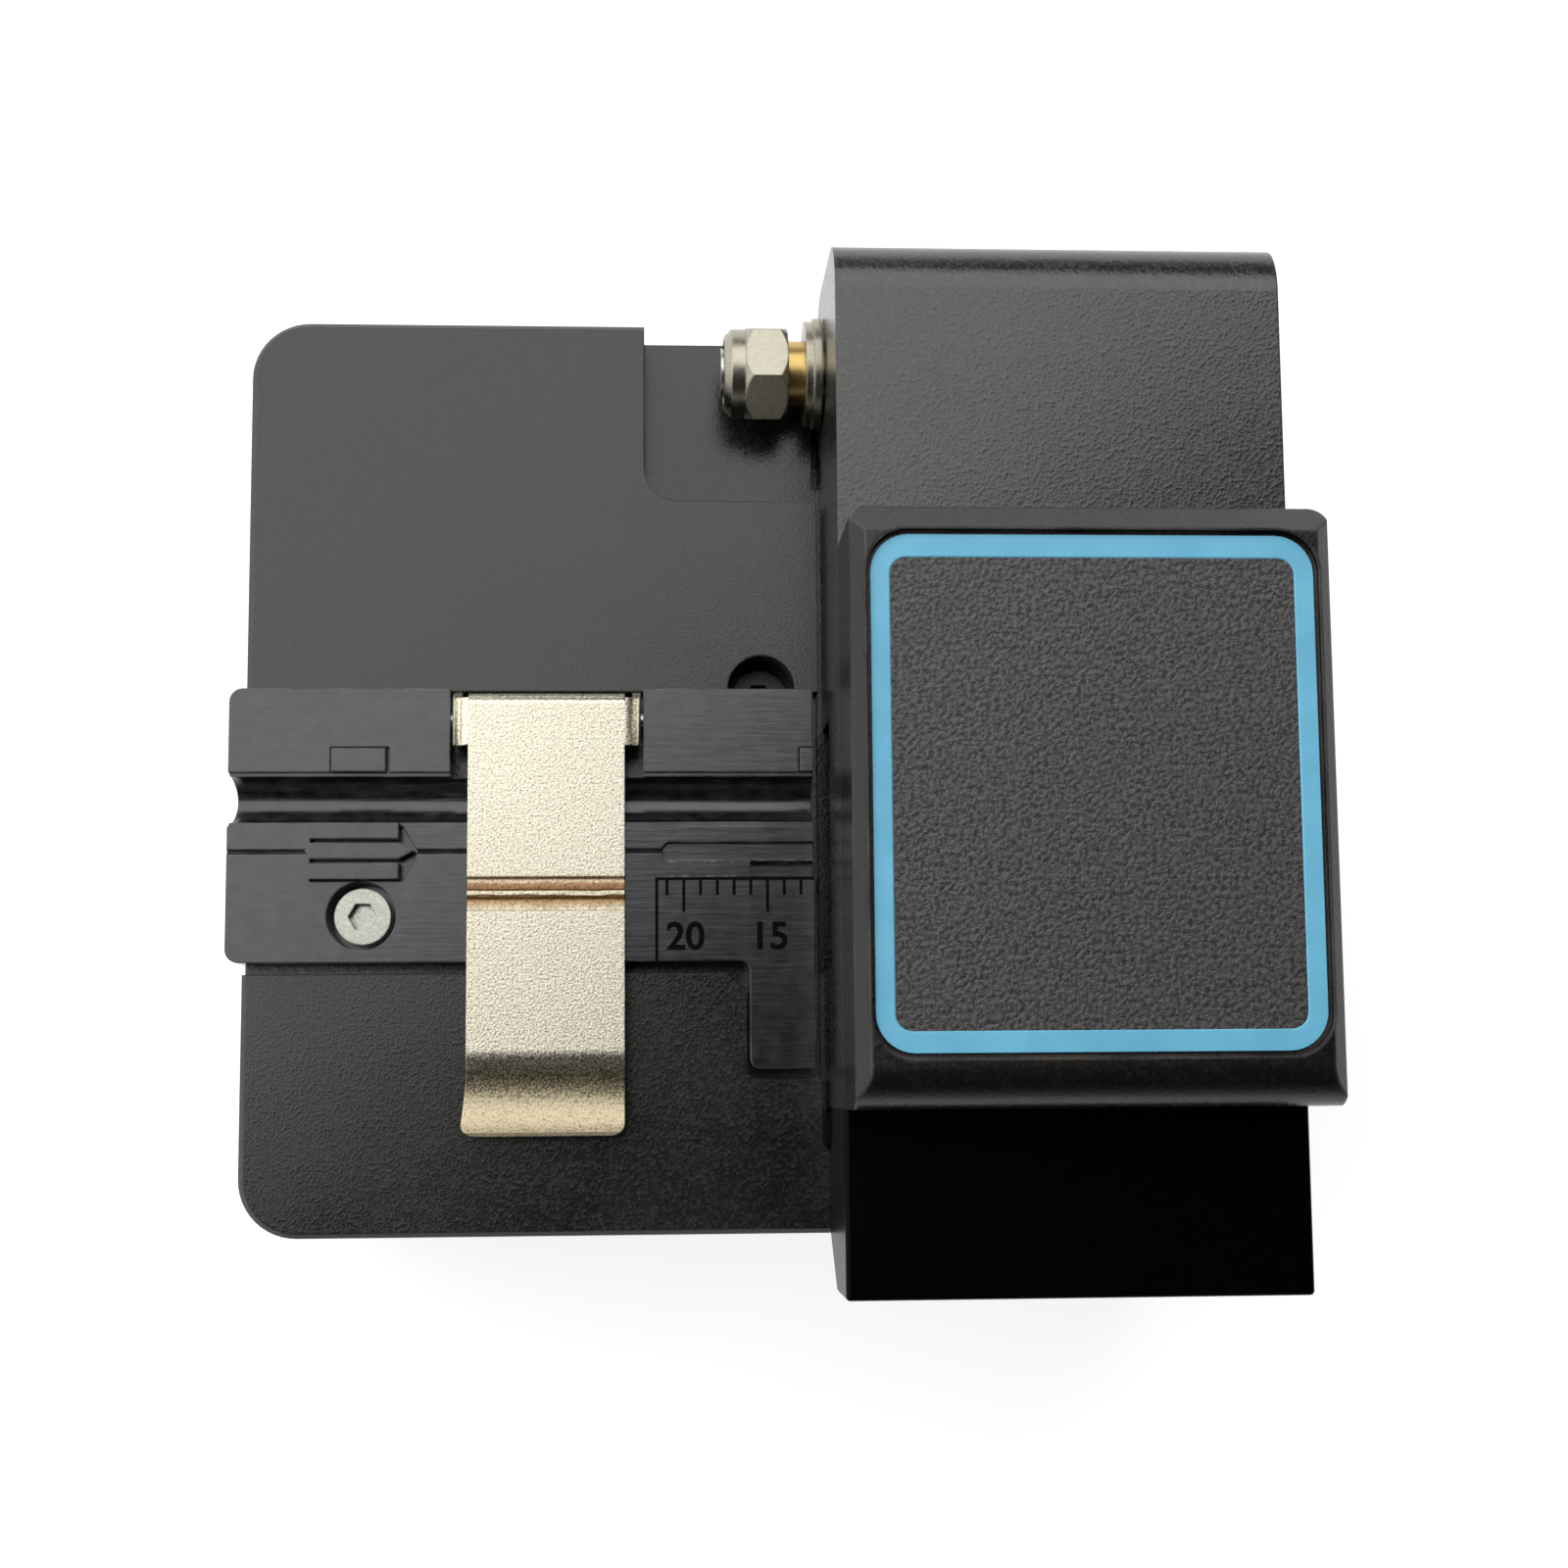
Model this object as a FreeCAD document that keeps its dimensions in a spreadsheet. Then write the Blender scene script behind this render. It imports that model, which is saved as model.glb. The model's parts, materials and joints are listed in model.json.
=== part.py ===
import FreeCAD, Part
import os
import re
import Sketcher
from FreeCAD import Placement, Rotation, Vector

# A bench-top optical fibre cleaver: a base with a fibre plate on its left, and on its right a hinged
# lever that clamps the fibre over a blade wheel. The wheel is carried across below the fibre on a rail.
# Frame: +X right, +Y to the hinge at the back, +Z up. Origin: middle of the whole footprint, on the table.

doc = FreeCAD.newDocument("fibre_cleaver")
sheet = doc.addObject("Spreadsheet::Sheet", "Sizes")

# Driving sizes in millimetres, one cell each.
SIZES = {
    # base
    "platform_width": 35.0,
    "platform_depth": 55.6,
    "platform_top": 26.0,
    "platform_corner": 3.5,
    "base_corner": 1.0,
    "foot_height": 1.0,
    "foot_radius": 3.6,
    "foot_inset": 7.0,
    "top_chamfer": 0.3,
    "base_plate_thickness": 2.0,
    "base_plate_inset": 0.5,
    "plate_screw_inset": 4.6,
    "plate_screw_end_step": 15.0,
    # lever
    "lever_width": 26.0,
    "lever_top": 36.8,
    "lever_roof": 3.8,
    "lever_wall": 3.0,
    "lever_back_radius": 3.3,
    "wall_skirt": 2.0,
    "notch_headroom": 1.2,
    "notch_short": 2.0,
    "side_gap": 0.3,
    "well_side_gap": 0.4,
    "floor_gap": 0.3,
    "well_front": 4.5,
    "well_end_radius": 1.2,
    # nose
    "nose_overhang": 3.1,
    "nose_side": 0.2,
    "nose_length": 10.5,
    "nose_tip": 6.0,
    "nose_edge_radius": 0.25,
    "nose_tongue_length": 7.0,
    "nose_tongue_height": 3.5,
    "nose_screw_step": 6.0,
    # hinge
    "hinge_set_back": 5.35,
    "knuckle_radius": 3.0,
    "knuckle_gap": 0.15,
    "hinge_bolt_radius": 1.5,
    "bush_wall": 0.5,
    "running_fit": 0.05,
    "back_wall_drop": 3.4,
    "nut_width": 5.5,
    "nut_length": 3.9,
    "nut_collar": 1.3,
    "nut_collar_step": 0.05,
    "nut_bevel": 0.45,
    "nut_ring_wall": 0.7,
    "nut_ring_sink": 0.1,
    "sleeve_show": 1.2,
    "washer_radius": 3.4,
    "washer_thickness": 0.5,
    "washer_step": 0.2,
    "bolt_head_radius": 2.8,
    "bolt_head_height": 1.3,
    "bolt_socket": 2.0,
    "bolt_end_show": 0.2,
    # nut recess in the platform
    "recess_width": 11.0,
    "recess_length": 11.1,
    "recess_depth": 4.0,
    "recess_corner": 2.1,
    # press pad and label
    "pad_front": 10.5,
    "pad_length": 32.65,
    "pad_height": 8.1,
    "pad_front_radius": 2.2,
    "pad_back_bevel": 1.6,
    "pad_side_bevel": 0.8,
    "pad_corner": 0.9,
    "pad_overhang": 0.3,
    "pad_wall": 2.0,
    "pad_boss_radius": 3.0,
    "pad_screw_side_step": 5.0,
    "pad_screw_front_step": 12.0,
    "pad_screw_back_step": 6.0,
    "label_width": 24.2,
    "label_length": 27.9,
    "label_front": 2.95,
    "label_corner": 2.1,
    "label_recess": 0.6,
    "label_thickness": 0.2,
    "label_clearance": 0.25,
    "label_shift": 0.2,
    # guide plate
    "guide_overhang": 0.7,
    "guide_front": 16.14,
    "guide_depth": 16.36,
    "guide_thickness": 3.4,
    "guide_rise": 1.8,
    "guide_end_gap": 0.9,
    "guide_pocket_gap": 0.6,
    "guide_back_gap": 0.1,
    "guide_corner": 0.8,
    "cable_groove_from_front": 9.7,
    "cable_groove_width": 2.75,
    "cable_groove_radius": 1.39,
    "groove_wall": 0.4,
    "ledge_width": 0.25,
    "ledge_drop": 0.3,
    "mouth_radius": 4.2,
    "fibre_from_front": 6.56,
    "fibre_groove_width": 0.3,
    "fibre_groove_depth": 0.25,
    "comb_from_left": 4.9,
    "comb_length": 5.25,
    "comb_point": 0.9,
    "comb_rib": 0.95,
    "comb_pitch": 1.2,
    "comb_rise": 0.6,
    "comb_seat_gap": 0.2,
    "comb_seat_depth": 0.8,
    "stop_from_left": 6.1,
    "stop_length": 3.2,
    "stop_depth": 1.4,
    "stop_rise": 0.3,
    "stop_moat": 0.2,
    "stop_moat_depth": 0.6,
    "end_stop_length": 0.8,
    "fibre_slot_length": 9.1,
    "fibre_slot_width": 1.05,
    "fibre_slot_depth": 0.5,
    "bend_slack": 0.02,
    "scale_slot_length": 3.8,
    "scale_slot_width": 1.05,
    "scale_slot_gap": 0.1,
    "scale_slot_depth": 1.2,
    "tongue_width": 3.88,
    "tongue_length": 6.4,
    "tongue_corner": 0.6,
    "tongue_gap": 0.12,
    "tongue_relief": 1.2,
    "stop_screw_from_arm": 3.9,
    "stop_screw_behind": 0.3,
    "stop_screw_sink": 2.6,
    "guide_screw_from_left": 7.95,
    "guide_screw_from_front": 2.75,
    "counterbore_radius": 2.05,
    "counterbore_depth": 2.75,
    # clip
    "clip_from_left": 14.2,
    "clip_width": 9.3,
    "clip_thickness": 0.5,
    "clip_lift": 0.25,
    "clip_length": 26.3,
    "clip_back_bend": 0.8,
    "clip_back_gap": 0.3,
    "clip_back_drop": 1.3,
    "clip_bend_radius": 1.8,
    "clip_bend_angle": 31.7,
    "clip_lip_radius": 4.6,
    "clip_lip_angle": 35.0,
    "clip_lip_flare": 0.3,
    "clip_lip_corner": 0.9,
    "clip_bead_from_pin": 10.6,
    "clip_bead_width": 2.05,
    "clip_bead_depth": 0.32,
    "clip_bead_slope": 0.12,
    "clip_ridge_width": 0.36,
    "clip_ridge_drop": 0.06,
    "ear_width": 11.2,
    "ear_length": 3.2,
    "ear_radius": 1.25,
    "ear_bend": 0.45,
    "clip_slot_gap": 0.16,
    "clip_pin_radius": 0.5,
    "clip_pin_from_back": 1.5,
    "clip_pin_below_top": 1.0,
    "clip_pin_grip": 1.3,
    "magnet_from_arm": 6.5,
    "magnet_from_front": 3.6,
    "magnet_radius": 2.0,
    "magnet_height": 2.0,
    "magnet_gap": 0.15,
    # blade slider
    "blade_line": 11.3,
    "blade_radius": 9.0,
    "blade_thickness": 1.2,
    "blade_edge_flat": 0.1,
    "blade_bevel": 1.6,
    "blade_rise": 1.65,
    "blade_back_offset": 10.8,
    "blade_slot_side": 0.5,
    "blade_slot_end": 1.0,
    "slider_travel": 18.0,
    "bridge_thickness": 3.5,
    "channel_left": 2.7,
    "channel_right": 11.1,
    "channel_back": 49.0,
    "channel_gap": 0.3,
    "rail_width": 5.0,
    "rail_height": 3.6,
    "rail_front": 5.0,
    "rail_length": 43.0,
    "rail_centre": 4.5,
    "rail_groove": 0.5,
    "rail_screw_pitch": 15.0,
    "rail_screw_bite": 1.4,
    "block_width": 12.0,
    "block_length": 20.0,
    "block_top": 9.0,
    "block_clearance": 0.6,
    "carriage_width": 8.6,
    "carriage_length": 18.0,
    "shaft_radius": 1.5,
    "shaft_head_radius": 2.6,
    "shaft_head_height": 1.1,
    "push_arm_offset": 1.0,
    "push_arm_width": 8.0,
    "carriage_nose": 7.0,
    "blade_side_gap": 0.1,
    "push_arm_height": 6.0,
    "grip_width": 20.0,
    "grip_thickness": 2.8,
    "grip_bottom": 4.0,
    "grip_top": 23.5,
    "grip_offset": -1.0,
    "grip_gap": 0.3,
    "grip_rib": 0.5,
    "grip_rib_pitch": 2.0,
    "grip_ribs": 8,
    "grip_margin": 2.5,
    "grip_screw_step": 2.3,
    "height_screw_level": 4.0,
    "height_screw_length": 4.0,
    # clamps and anvil
    "clamp_pad_length": 7.5,
    "clamp_pad_width": 5.0,
    "clamp_pad_height": 0.8,
    "clamp_rise": 1.6,
    "clamp_side_step": 4.9,
    "clamp_pad_inset": 0.4,
    "clamp_fibre_gap": 0.2,
    "clamp_plate": 1.5,
    "carrier_half_width": 7.6,
    "carrier_ear_width": 4.4,
    "carrier_ear_reach": 7.0,
    "clamp_pin_step": 5.4,
    "clamp_pin_radius": 0.8,
    "clamp_pin_head_radius": 1.4,
    "clamp_pin_head": 0.5,
    "pin_bite": 2.4,
    "anvil_radius": 1.5,
    "anvil_gap": 0.3,
    "guide_tube_radius": 2.6,
    "guide_tube_drop": 2.6,
    "spring_wire": 0.3,
    "spring_clearance": 0.15,
    "spring_seat_gap": 0.02,
    "spring_turns": 3.5,
    # small screws
    "small_screw_radius": 1.0,
    "small_head_radius": 1.9,
    "small_head_height": 2.0,
    "cap_head_radius": 1.68,
    "hex_socket": 1.5,
    "screw_bite": 5.0,
    "bore_beyond": 0.5,
    "hole_fit": 0.1,
}

# Places and sizes that follow from the driving ones.
LAYOUT = {
    "base_left": "guide_overhang - (guide_overhang + platform_width + lever_width + pad_overhang) / 2",
    "arm_left": "base_left + platform_width",
    "arm_right": "arm_left + lever_width",
    "lever_length": "nose_overhang + platform_depth - knuckle_radius + hinge_set_back",
    "nose_front": "-lever_length / 2",
    "arm_back": "lever_length / 2",
    "base_front": "nose_front + nose_overhang",
    "base_back": "base_front + platform_depth",
    "arm_front": "nose_front + nose_length",
    "base_bottom": "foot_height + base_plate_thickness",
    "arm_inner_left": "arm_left + lever_wall",
    "arm_inner_right": "arm_right - lever_wall",
    "ceiling": "lever_top - lever_roof",
    "wall_bottom": "platform_top - wall_skirt",
    "well_floor": "wall_bottom - floor_gap",
    "hinge_line": "arm_back - hinge_set_back",
    "cheek_floor": "platform_top - hinge_set_back - floor_gap",
    "guide_y": "base_front + guide_front",
    "guide_back": "guide_y + guide_depth",
    "guide_left": "base_left - guide_overhang",
    "guide_right": "arm_left - guide_end_gap",
    "guide_top": "platform_top + guide_rise",
    "guide_bottom": "guide_top - guide_thickness",
    "fibre_line": "guide_y + fibre_from_front",
    "cable_groove_line": "guide_y + cable_groove_from_front",
    "magnet_x": "arm_left + magnet_from_arm",
    "magnet_y": "base_front + magnet_from_front",
    "stop_screw_x": "arm_left - stop_screw_from_arm",
    "stop_screw_y": "guide_back + stop_screw_behind",
    "guide_screw_x": "guide_left + guide_screw_from_left",
    "guide_screw_y": "guide_y + guide_screw_from_front",
    "arm_middle": "(arm_left + arm_right) / 2",
    "clip_centre": "guide_left + clip_from_left + clip_width / 2",
    "ear_slot_half": "ear_width / 2 + clip_slot_gap",
    "clip_under": "guide_top + clip_lift",
    "clip_top": "clip_under + clip_thickness",
    "clip_back": "guide_back - clip_back_gap",
    "clip_front": "clip_back - clip_length",
    "clip_bend_line": "clip_front + (clip_bend_radius + clip_lip_radius) * sin(clip_bend_angle)"
                      " + (clip_lip_radius + clip_thickness) * sin(clip_lip_angle)",
    "clip_pin_line": "clip_back - clip_pin_from_back",
    "clip_pin_level": "guide_top - clip_pin_below_top",
    "blade_plane": "arm_left + blade_line",
    "blade_level": "platform_top + blade_rise - blade_radius",
    "blade_rest": "fibre_line + blade_back_offset",
    "channel_x0": "blade_plane - channel_left",
    "channel_x1": "blade_plane + channel_right",
    "channel_top": "platform_top - bridge_thickness",
    "rail_line": "blade_plane + rail_centre",
    "push_arm_line": "rail_line + push_arm_offset",
    "grip_line": "rail_line + grip_offset",
    "nut_left": "arm_left - washer_thickness * 2 - sleeve_show - nut_length",
    "bush_radius": "hinge_bolt_radius + bush_wall",
    "knuckle_left": "arm_inner_left + side_gap",
    "knuckle_right": "arm_inner_right - side_gap",
    "pad_y": "nose_front + pad_front",
    "pad_top": "lever_top + pad_height",
    "pad_right": "arm_right + pad_overhang",
    "clamp_top": "platform_top + clamp_rise",
    "upper_pad_bottom": "clamp_top + clamp_fibre_gap",
    "carrier_bottom": "upper_pad_bottom + clamp_pad_height",
    "carrier_top": "carrier_bottom + clamp_plate",
    "anvil_bottom": "platform_top + blade_rise + anvil_gap",
}


def fill_sheet():
    """Write each driving size as a number and each derived one as a formula, with its name as alias."""
    rows = [(name, str(size)) for name, size in SIZES.items()]
    rows += [(name, "=" + formula) for name, formula in LAYOUT.items()]
    for row, (name, content) in enumerate(rows, start=1):
        sheet.set(f"A{row}", name)
        sheet.set(f"B{row}", content)
        sheet.setAlias(f"B{row}", name)
    doc.recompute()


NAMES = set(SIZES) | set(LAYOUT)


def sized(expression):
    """The expression with the name of every cell written as a reference to the sheet."""
    return re.sub(r"[a-z][a-z0-9_]*", lambda m: "Sizes." + m[0] if m[0] in NAMES else m[0], str(expression))


def number(expression):
    """What an expression of cells comes to now."""
    return float(sheet.evalExpression(sized(expression)))


def bind(item, **expressions):
    """Tie properties to expressions of cells; x, y and z are the place of the item."""
    for name, expression in expressions.items():
        path = "Placement.Base." + name if name in ("x", "y", "z") else name
        item.setExpression(path, sized(expression))
    return item


# ---------------------------------------------------------------- sketches and Part Design features

CUTS = []
HORIZONTAL, VERTICAL = "DistanceX", "DistanceY"


def new_body(label):
    body = doc.addObject("PartDesign::Body", label)
    body.Label = label
    return body


def new_sketch(body, name, plane, height):
    """An empty sketch on one of the body's own planes, at a height along its normal."""
    sketch = body.newObject("Sketcher::SketchObject", name)
    origin_plane = [item for item in body.Origin.OriginFeatures if item.Role == plane + "_Plane"][0]
    sketch.AttachmentSupport = [(origin_plane, "")]
    sketch.MapMode = "FlatFace"
    sketch.setExpression("AttachmentOffset.Base.z", sized(height))
    return sketch


def hold(sketch, kind, where, expression):
    """A driving constraint whose value is an expression of cells."""
    index = sketch.addConstraint(Sketcher.Constraint(kind, *where, number(expression)))
    sketch.setExpression(f"Constraints[{index}]", sized(expression))


def arc_between(start, end, radius):
    """The minor arc from start to end; a positive radius turns left, a negative one right."""
    chord = end - start
    rise = max(radius * radius - chord.Length ** 2 / 4, 0) ** 0.5
    side = 1 if radius > 0 else -1
    normal = Vector(-chord.y, chord.x, 0) / chord.Length
    centre = (start + end) / 2 + normal * rise * side
    first, last = (start, end) if radius > 0 else (end, start)
    angles = [Vector(1, 0, 0).getAngle(point - centre) for point in (first, last)]
    angles = [-a if point.y < centre.y else a for a, point in zip(angles, (first, last))]
    return Part.ArcOfCircle(Part.Circle(centre, Vector(0, 0, 1), abs(radius)), *angles)


def outline(body, name, plane, corners, height="0"):
    """A closed sketch through the corners. A third entry makes the stretch after a corner an arc."""
    sketch = new_sketch(body, name, plane, height)
    points = [Vector(number(corner[0]), number(corner[1]), 0) for corner in corners]
    ends = []
    for index, corner in enumerate(corners):
        start, end = points[index], points[(index + 1) % len(points)]
        if len(corner) == 2:
            sketch.addGeometry(Part.LineSegment(start, end))
            ends.append((1, 2))
        else:
            radius = number(corner[2])
            sketch.addGeometry(arc_between(start, end, radius))
            ends.append((1, 2) if radius > 0 else (2, 1))
    for index, corner in enumerate(corners):
        before = index - 1 if index else len(corners) - 1
        sketch.addConstraint(Sketcher.Constraint("Coincident", before, ends[before][1], index, ends[index][0]))
        hold(sketch, HORIZONTAL, (-1, 1, index, ends[index][0]), corner[0])
        hold(sketch, VERTICAL, (-1, 1, index, ends[index][0]), corner[1])
        if len(corner) == 3:
            hold(sketch, "Radius", (index,), "abs(" + corner[2] + ")")
    return sketch


def rectangle(body, name, plane, left, right, low, high, height="0"):
    return outline(body, name, plane, [(left, low), (right, low), (right, high), (left, high)], height)


def circles(body, name, plane, places, radius, height="0"):
    """A sketch of equal circles."""
    sketch = new_sketch(body, name, plane, height)
    for index, (across, along) in enumerate(places):
        centre = Vector(number(across), number(along), 0)
        sketch.addGeometry(Part.Circle(centre, Vector(0, 0, 1), number(radius)))
        hold(sketch, HORIZONTAL, (-1, 1, index, 3), across)
        hold(sketch, VERTICAL, (-1, 1, index, 3), along)
        hold(sketch, "Radius", (index,), radius)
    return sketch


def pad(sketch, length, back=False):
    """Raise the sketch along its normal, or against it."""
    body = sketch.getParentGeoFeatureGroup()
    feature = body.newObject("PartDesign::Pad", sketch.Name + "_pad")
    feature.Profile = sketch
    feature.setExpression("Length", sized(length))
    feature.Reversed = back
    return feature


def pocket(sketch, length, along_normal=False):
    """Cut the sketch against its normal, or along it."""
    body = sketch.getParentGeoFeatureGroup()
    feature = body.newObject("PartDesign::Pocket", sketch.Name + "_cut")
    feature.Profile = sketch
    feature.setExpression("Length", sized(length))
    feature.Reversed = along_normal
    CUTS.append(feature)
    return feature


def edges_where(shape, test):
    """The names of the edges whose middle point and direction pass the test."""
    names = []
    for index, edge in enumerate(shape.Edges, start=1):
        middle = edge.valueAt((edge.FirstParameter + edge.LastParameter) / 2)
        run = edge.tangentAt((edge.FirstParameter + edge.LastParameter) / 2)
        if test(middle, run):
            names.append(f"Edge{index}")
    return names


def round_edges(body, name, radius, test, kind="Fillet"):
    """Fillet or chamfer the edges that pass the test."""
    doc.recompute()
    before = body.Tip
    feature = body.newObject("PartDesign::" + kind, name)
    feature.Base = (before, edges_where(before.Shape, test))
    feature.setExpression("Radius" if kind == "Fillet" else "Size", sized(radius))
    body.Tip = feature
    doc.recompute()
    return feature


def near(value, expression):
    return abs(value - number(expression)) < 0.01


# ---------------------------------------------------------------- Part primitives

TURNS = {
    "X": Rotation(Vector(0, 1, 0), 90),
    "Y": Rotation(Vector(1, 0, 0), -90),
    "Z": Rotation(),
}


def box(name, x, y, z, length, width, height):
    item = doc.addObject("Part::Box", name)
    return bind(item, x=x, y=y, z=z, Length=length, Width=width, Height=height)


def rod(name, axis, x, y, z, radius, length):
    """A cylinder that starts at x, y, z and runs along an axis."""
    item = doc.addObject("Part::Cylinder", name)
    item.Placement = Placement(Vector(), TURNS[axis])
    return bind(item, x=x, y=y, z=z, Radius=radius, Height=length)


def hexagon(name, axis, x, y, z, across_flats, length):
    item = doc.addObject("Part::Prism", name)
    item.Polygon = 6
    item.Placement = Placement(Vector(), TURNS[axis])
    return bind(item, x=x, y=y, z=z, Circumradius="(" + across_flats + ") / sqrt(3)", Height=length)


def cone(name, axis, x, y, z, first_radius, last_radius, length):
    item = doc.addObject("Part::Cone", name)
    item.Placement = Placement(Vector(), TURNS[axis])
    return bind(item, x=x, y=y, z=z, Radius1=first_radius, Radius2=last_radius, Height=length)


def fuse(name, *shapes):
    item = doc.addObject("Part::MultiFuse", name)
    item.Shapes = list(shapes)
    item.Refine = True
    return item


def cut(name, base, *tools):
    item = doc.addObject("Part::Cut", name)
    item.Base = base
    item.Tool = tools[0] if len(tools) == 1 else fuse(name + "_tools", *tools)
    return item


def group(name, *shapes):
    """Identical pieces in one node, each still a solid of its own."""
    item = doc.addObject("Part::Compound", name)
    item.Links = list(shapes)
    return item


NODES = []


def node(item, label):
    """Mark an object as a finished sub-part."""
    item.Label = label
    NODES.append(item)
    return item


fill_sheet()


# ---------------------------------------------------------------- base block

def make_base_block():
    """Machined aluminium block: platform, wells for the lever's walls, hinge knuckle, slider channel."""
    body = new_body("base_block")
    block = rectangle(body, "block_outline", "XY", "base_left", "arm_right", "base_front", "base_back",
                      "base_bottom")
    pad(block, "platform_top - base_bottom")
    knuckle = circles(body, "knuckle", "YZ", [("hinge_line", "platform_top")], "knuckle_radius", "knuckle_left")
    pad(knuckle, "knuckle_right - knuckle_left")
    round_edges(body, "left_corners", "platform_corner",
                lambda at, run: abs(run.z) > 0.9 and near(at.x, "base_left"))
    round_edges(body, "right_front_corner", "base_corner",
                lambda at, run: abs(run.z) > 0.9 and near(at.x, "arm_right") and near(at.y, "base_front"))

    round_edges(body, "top_edge", "top_chamfer",
                lambda at, run: near(at.z, "platform_top") and abs(run.z) < 0.1
                and (at.x < number("arm_left") or at.y < number("arm_front")), "Chamfer")

    well_left, well_right = "arm_left - well_side_gap", "knuckle_left"
    well_y = "base_front + well_front"
    left_well = outline(body, "left_well", "XY", [
        (well_left, well_y + " + well_end_radius", "well_end_radius"),
        (well_left + " + well_end_radius", well_y),
        (well_right + " - well_end_radius", well_y, "well_end_radius"),
        (well_right, well_y + " + well_end_radius"),
        (well_right, "base_back + 1"),
        (well_left, "base_back + 1")], "platform_top")
    pocket(left_well, "platform_top - well_floor")
    right_well = rectangle(body, "right_well", "XY", "knuckle_right", "arm_right + 1", well_y, "base_back + 1",
                           "platform_top")
    pocket(right_well, "platform_top - well_floor")
    for side, left, right in (("left", well_left, well_right), ("right", "knuckle_right", "arm_right + 1")):
        cheek = rectangle(body, side + "_cheek_well", "XY", left, right, "hinge_line - hinge_set_back - 1",
                          "base_back + 1", "platform_top")
        pocket(cheek, "platform_top - cheek_floor")

    recess_x, recess_y = "arm_left - recess_width", "base_back - recess_length"
    recess = outline(body, "nut_recess", "XY", [
        (recess_x, "base_back + 1"),
        (recess_x, recess_y + " + recess_corner", "recess_corner"),
        (recess_x + " + recess_corner", recess_y),
        ("arm_left", recess_y),
        ("arm_left", "base_back + 1")], "platform_top")
    pocket(recess, "recess_depth")

    pocket_floor = "platform_top - guide_bottom"
    seat = rectangle(body, "guide_seat", "XY", "guide_left - 1", "arm_left", "guide_y - guide_pocket_gap",
                     "guide_back + guide_back_gap", "platform_top")
    pocket(seat, pocket_floor)
    seat_y = "guide_y - guide_pocket_gap"
    tongue_x = "guide_right - tongue_width - tongue_gap"
    tongue_y = seat_y + " - tongue_length"
    tongue = outline(body, "tongue_seat", "XY", [
        (tongue_x + " - tongue_relief", "guide_y"),
        (tongue_x + " - tongue_relief", seat_y),
        (tongue_x, seat_y + " - tongue_relief"),
        (tongue_x, tongue_y + " + tongue_corner", "tongue_corner"),
        (tongue_x + " + tongue_corner", tongue_y),
        ("arm_left", tongue_y),
        ("arm_left", "guide_y")], "platform_top")
    pocket(tongue, pocket_floor)
    stop_hole = circles(body, "stop_hole", "XY", [("stop_screw_x", "stop_screw_y")], "counterbore_radius",
                        "platform_top")
    pocket(stop_hole, "counterbore_depth + stop_screw_sink")

    channel = rectangle(body, "channel", "XY", "channel_x0", "channel_x1", "base_front - 1",
                        "base_front + channel_back", "base_bottom")
    pocket(channel, "channel_top - base_bottom", along_normal=True)
    blade_reach = "sqrt(blade_radius ^ 2 - (channel_top - blade_level) ^ 2)"
    slot = rectangle(body, "blade_slot", "XY", "blade_plane - blade_thickness / 2 - blade_slot_side",
                     "blade_plane + blade_thickness / 2 + blade_slot_side",
                     "blade_rest - slider_travel - " + blade_reach + " - blade_slot_end",
                     "blade_rest + " + blade_reach + " + blade_slot_end", "platform_top")
    pocket(slot, "bridge_thickness + 1")
    shaft_bore = circles(body, "hinge_bore", "YZ", [("hinge_line", "platform_top")],
                         "hinge_bolt_radius + running_fit", "knuckle_left - 1")
    pocket(shaft_bore, "knuckle_right - knuckle_left + 2", along_normal=True)
    magnet = circles(body, "magnet_bore", "XY", [("magnet_x", "magnet_y")], "magnet_radius",
                     "platform_top")
    pocket(magnet, "magnet_height + magnet_gap")
    screw = circles(body, "guide_screw_bore", "XY",
                    [("guide_screw_x", "guide_screw_y")],
                    "small_screw_radius", "guide_bottom")
    pocket(screw, "screw_bite + bore_beyond")
    below = circles(body, "plate_screw_bores", "XY", plate_screw_places(), "small_screw_radius", "base_bottom")
    pocket(below, "screw_bite + bore_beyond", along_normal=True)
    node(body, "base_block")


def plate_screw_places():
    """Where the four screws hold the bottom plate."""
    left, right = "base_left + plate_screw_inset", "channel_x0 - plate_screw_inset"
    front, back = "base_front + plate_screw_end_step", "base_back - plate_screw_end_step"
    return [(x, y) for x in (left, right) for y in (front, back)]


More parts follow.
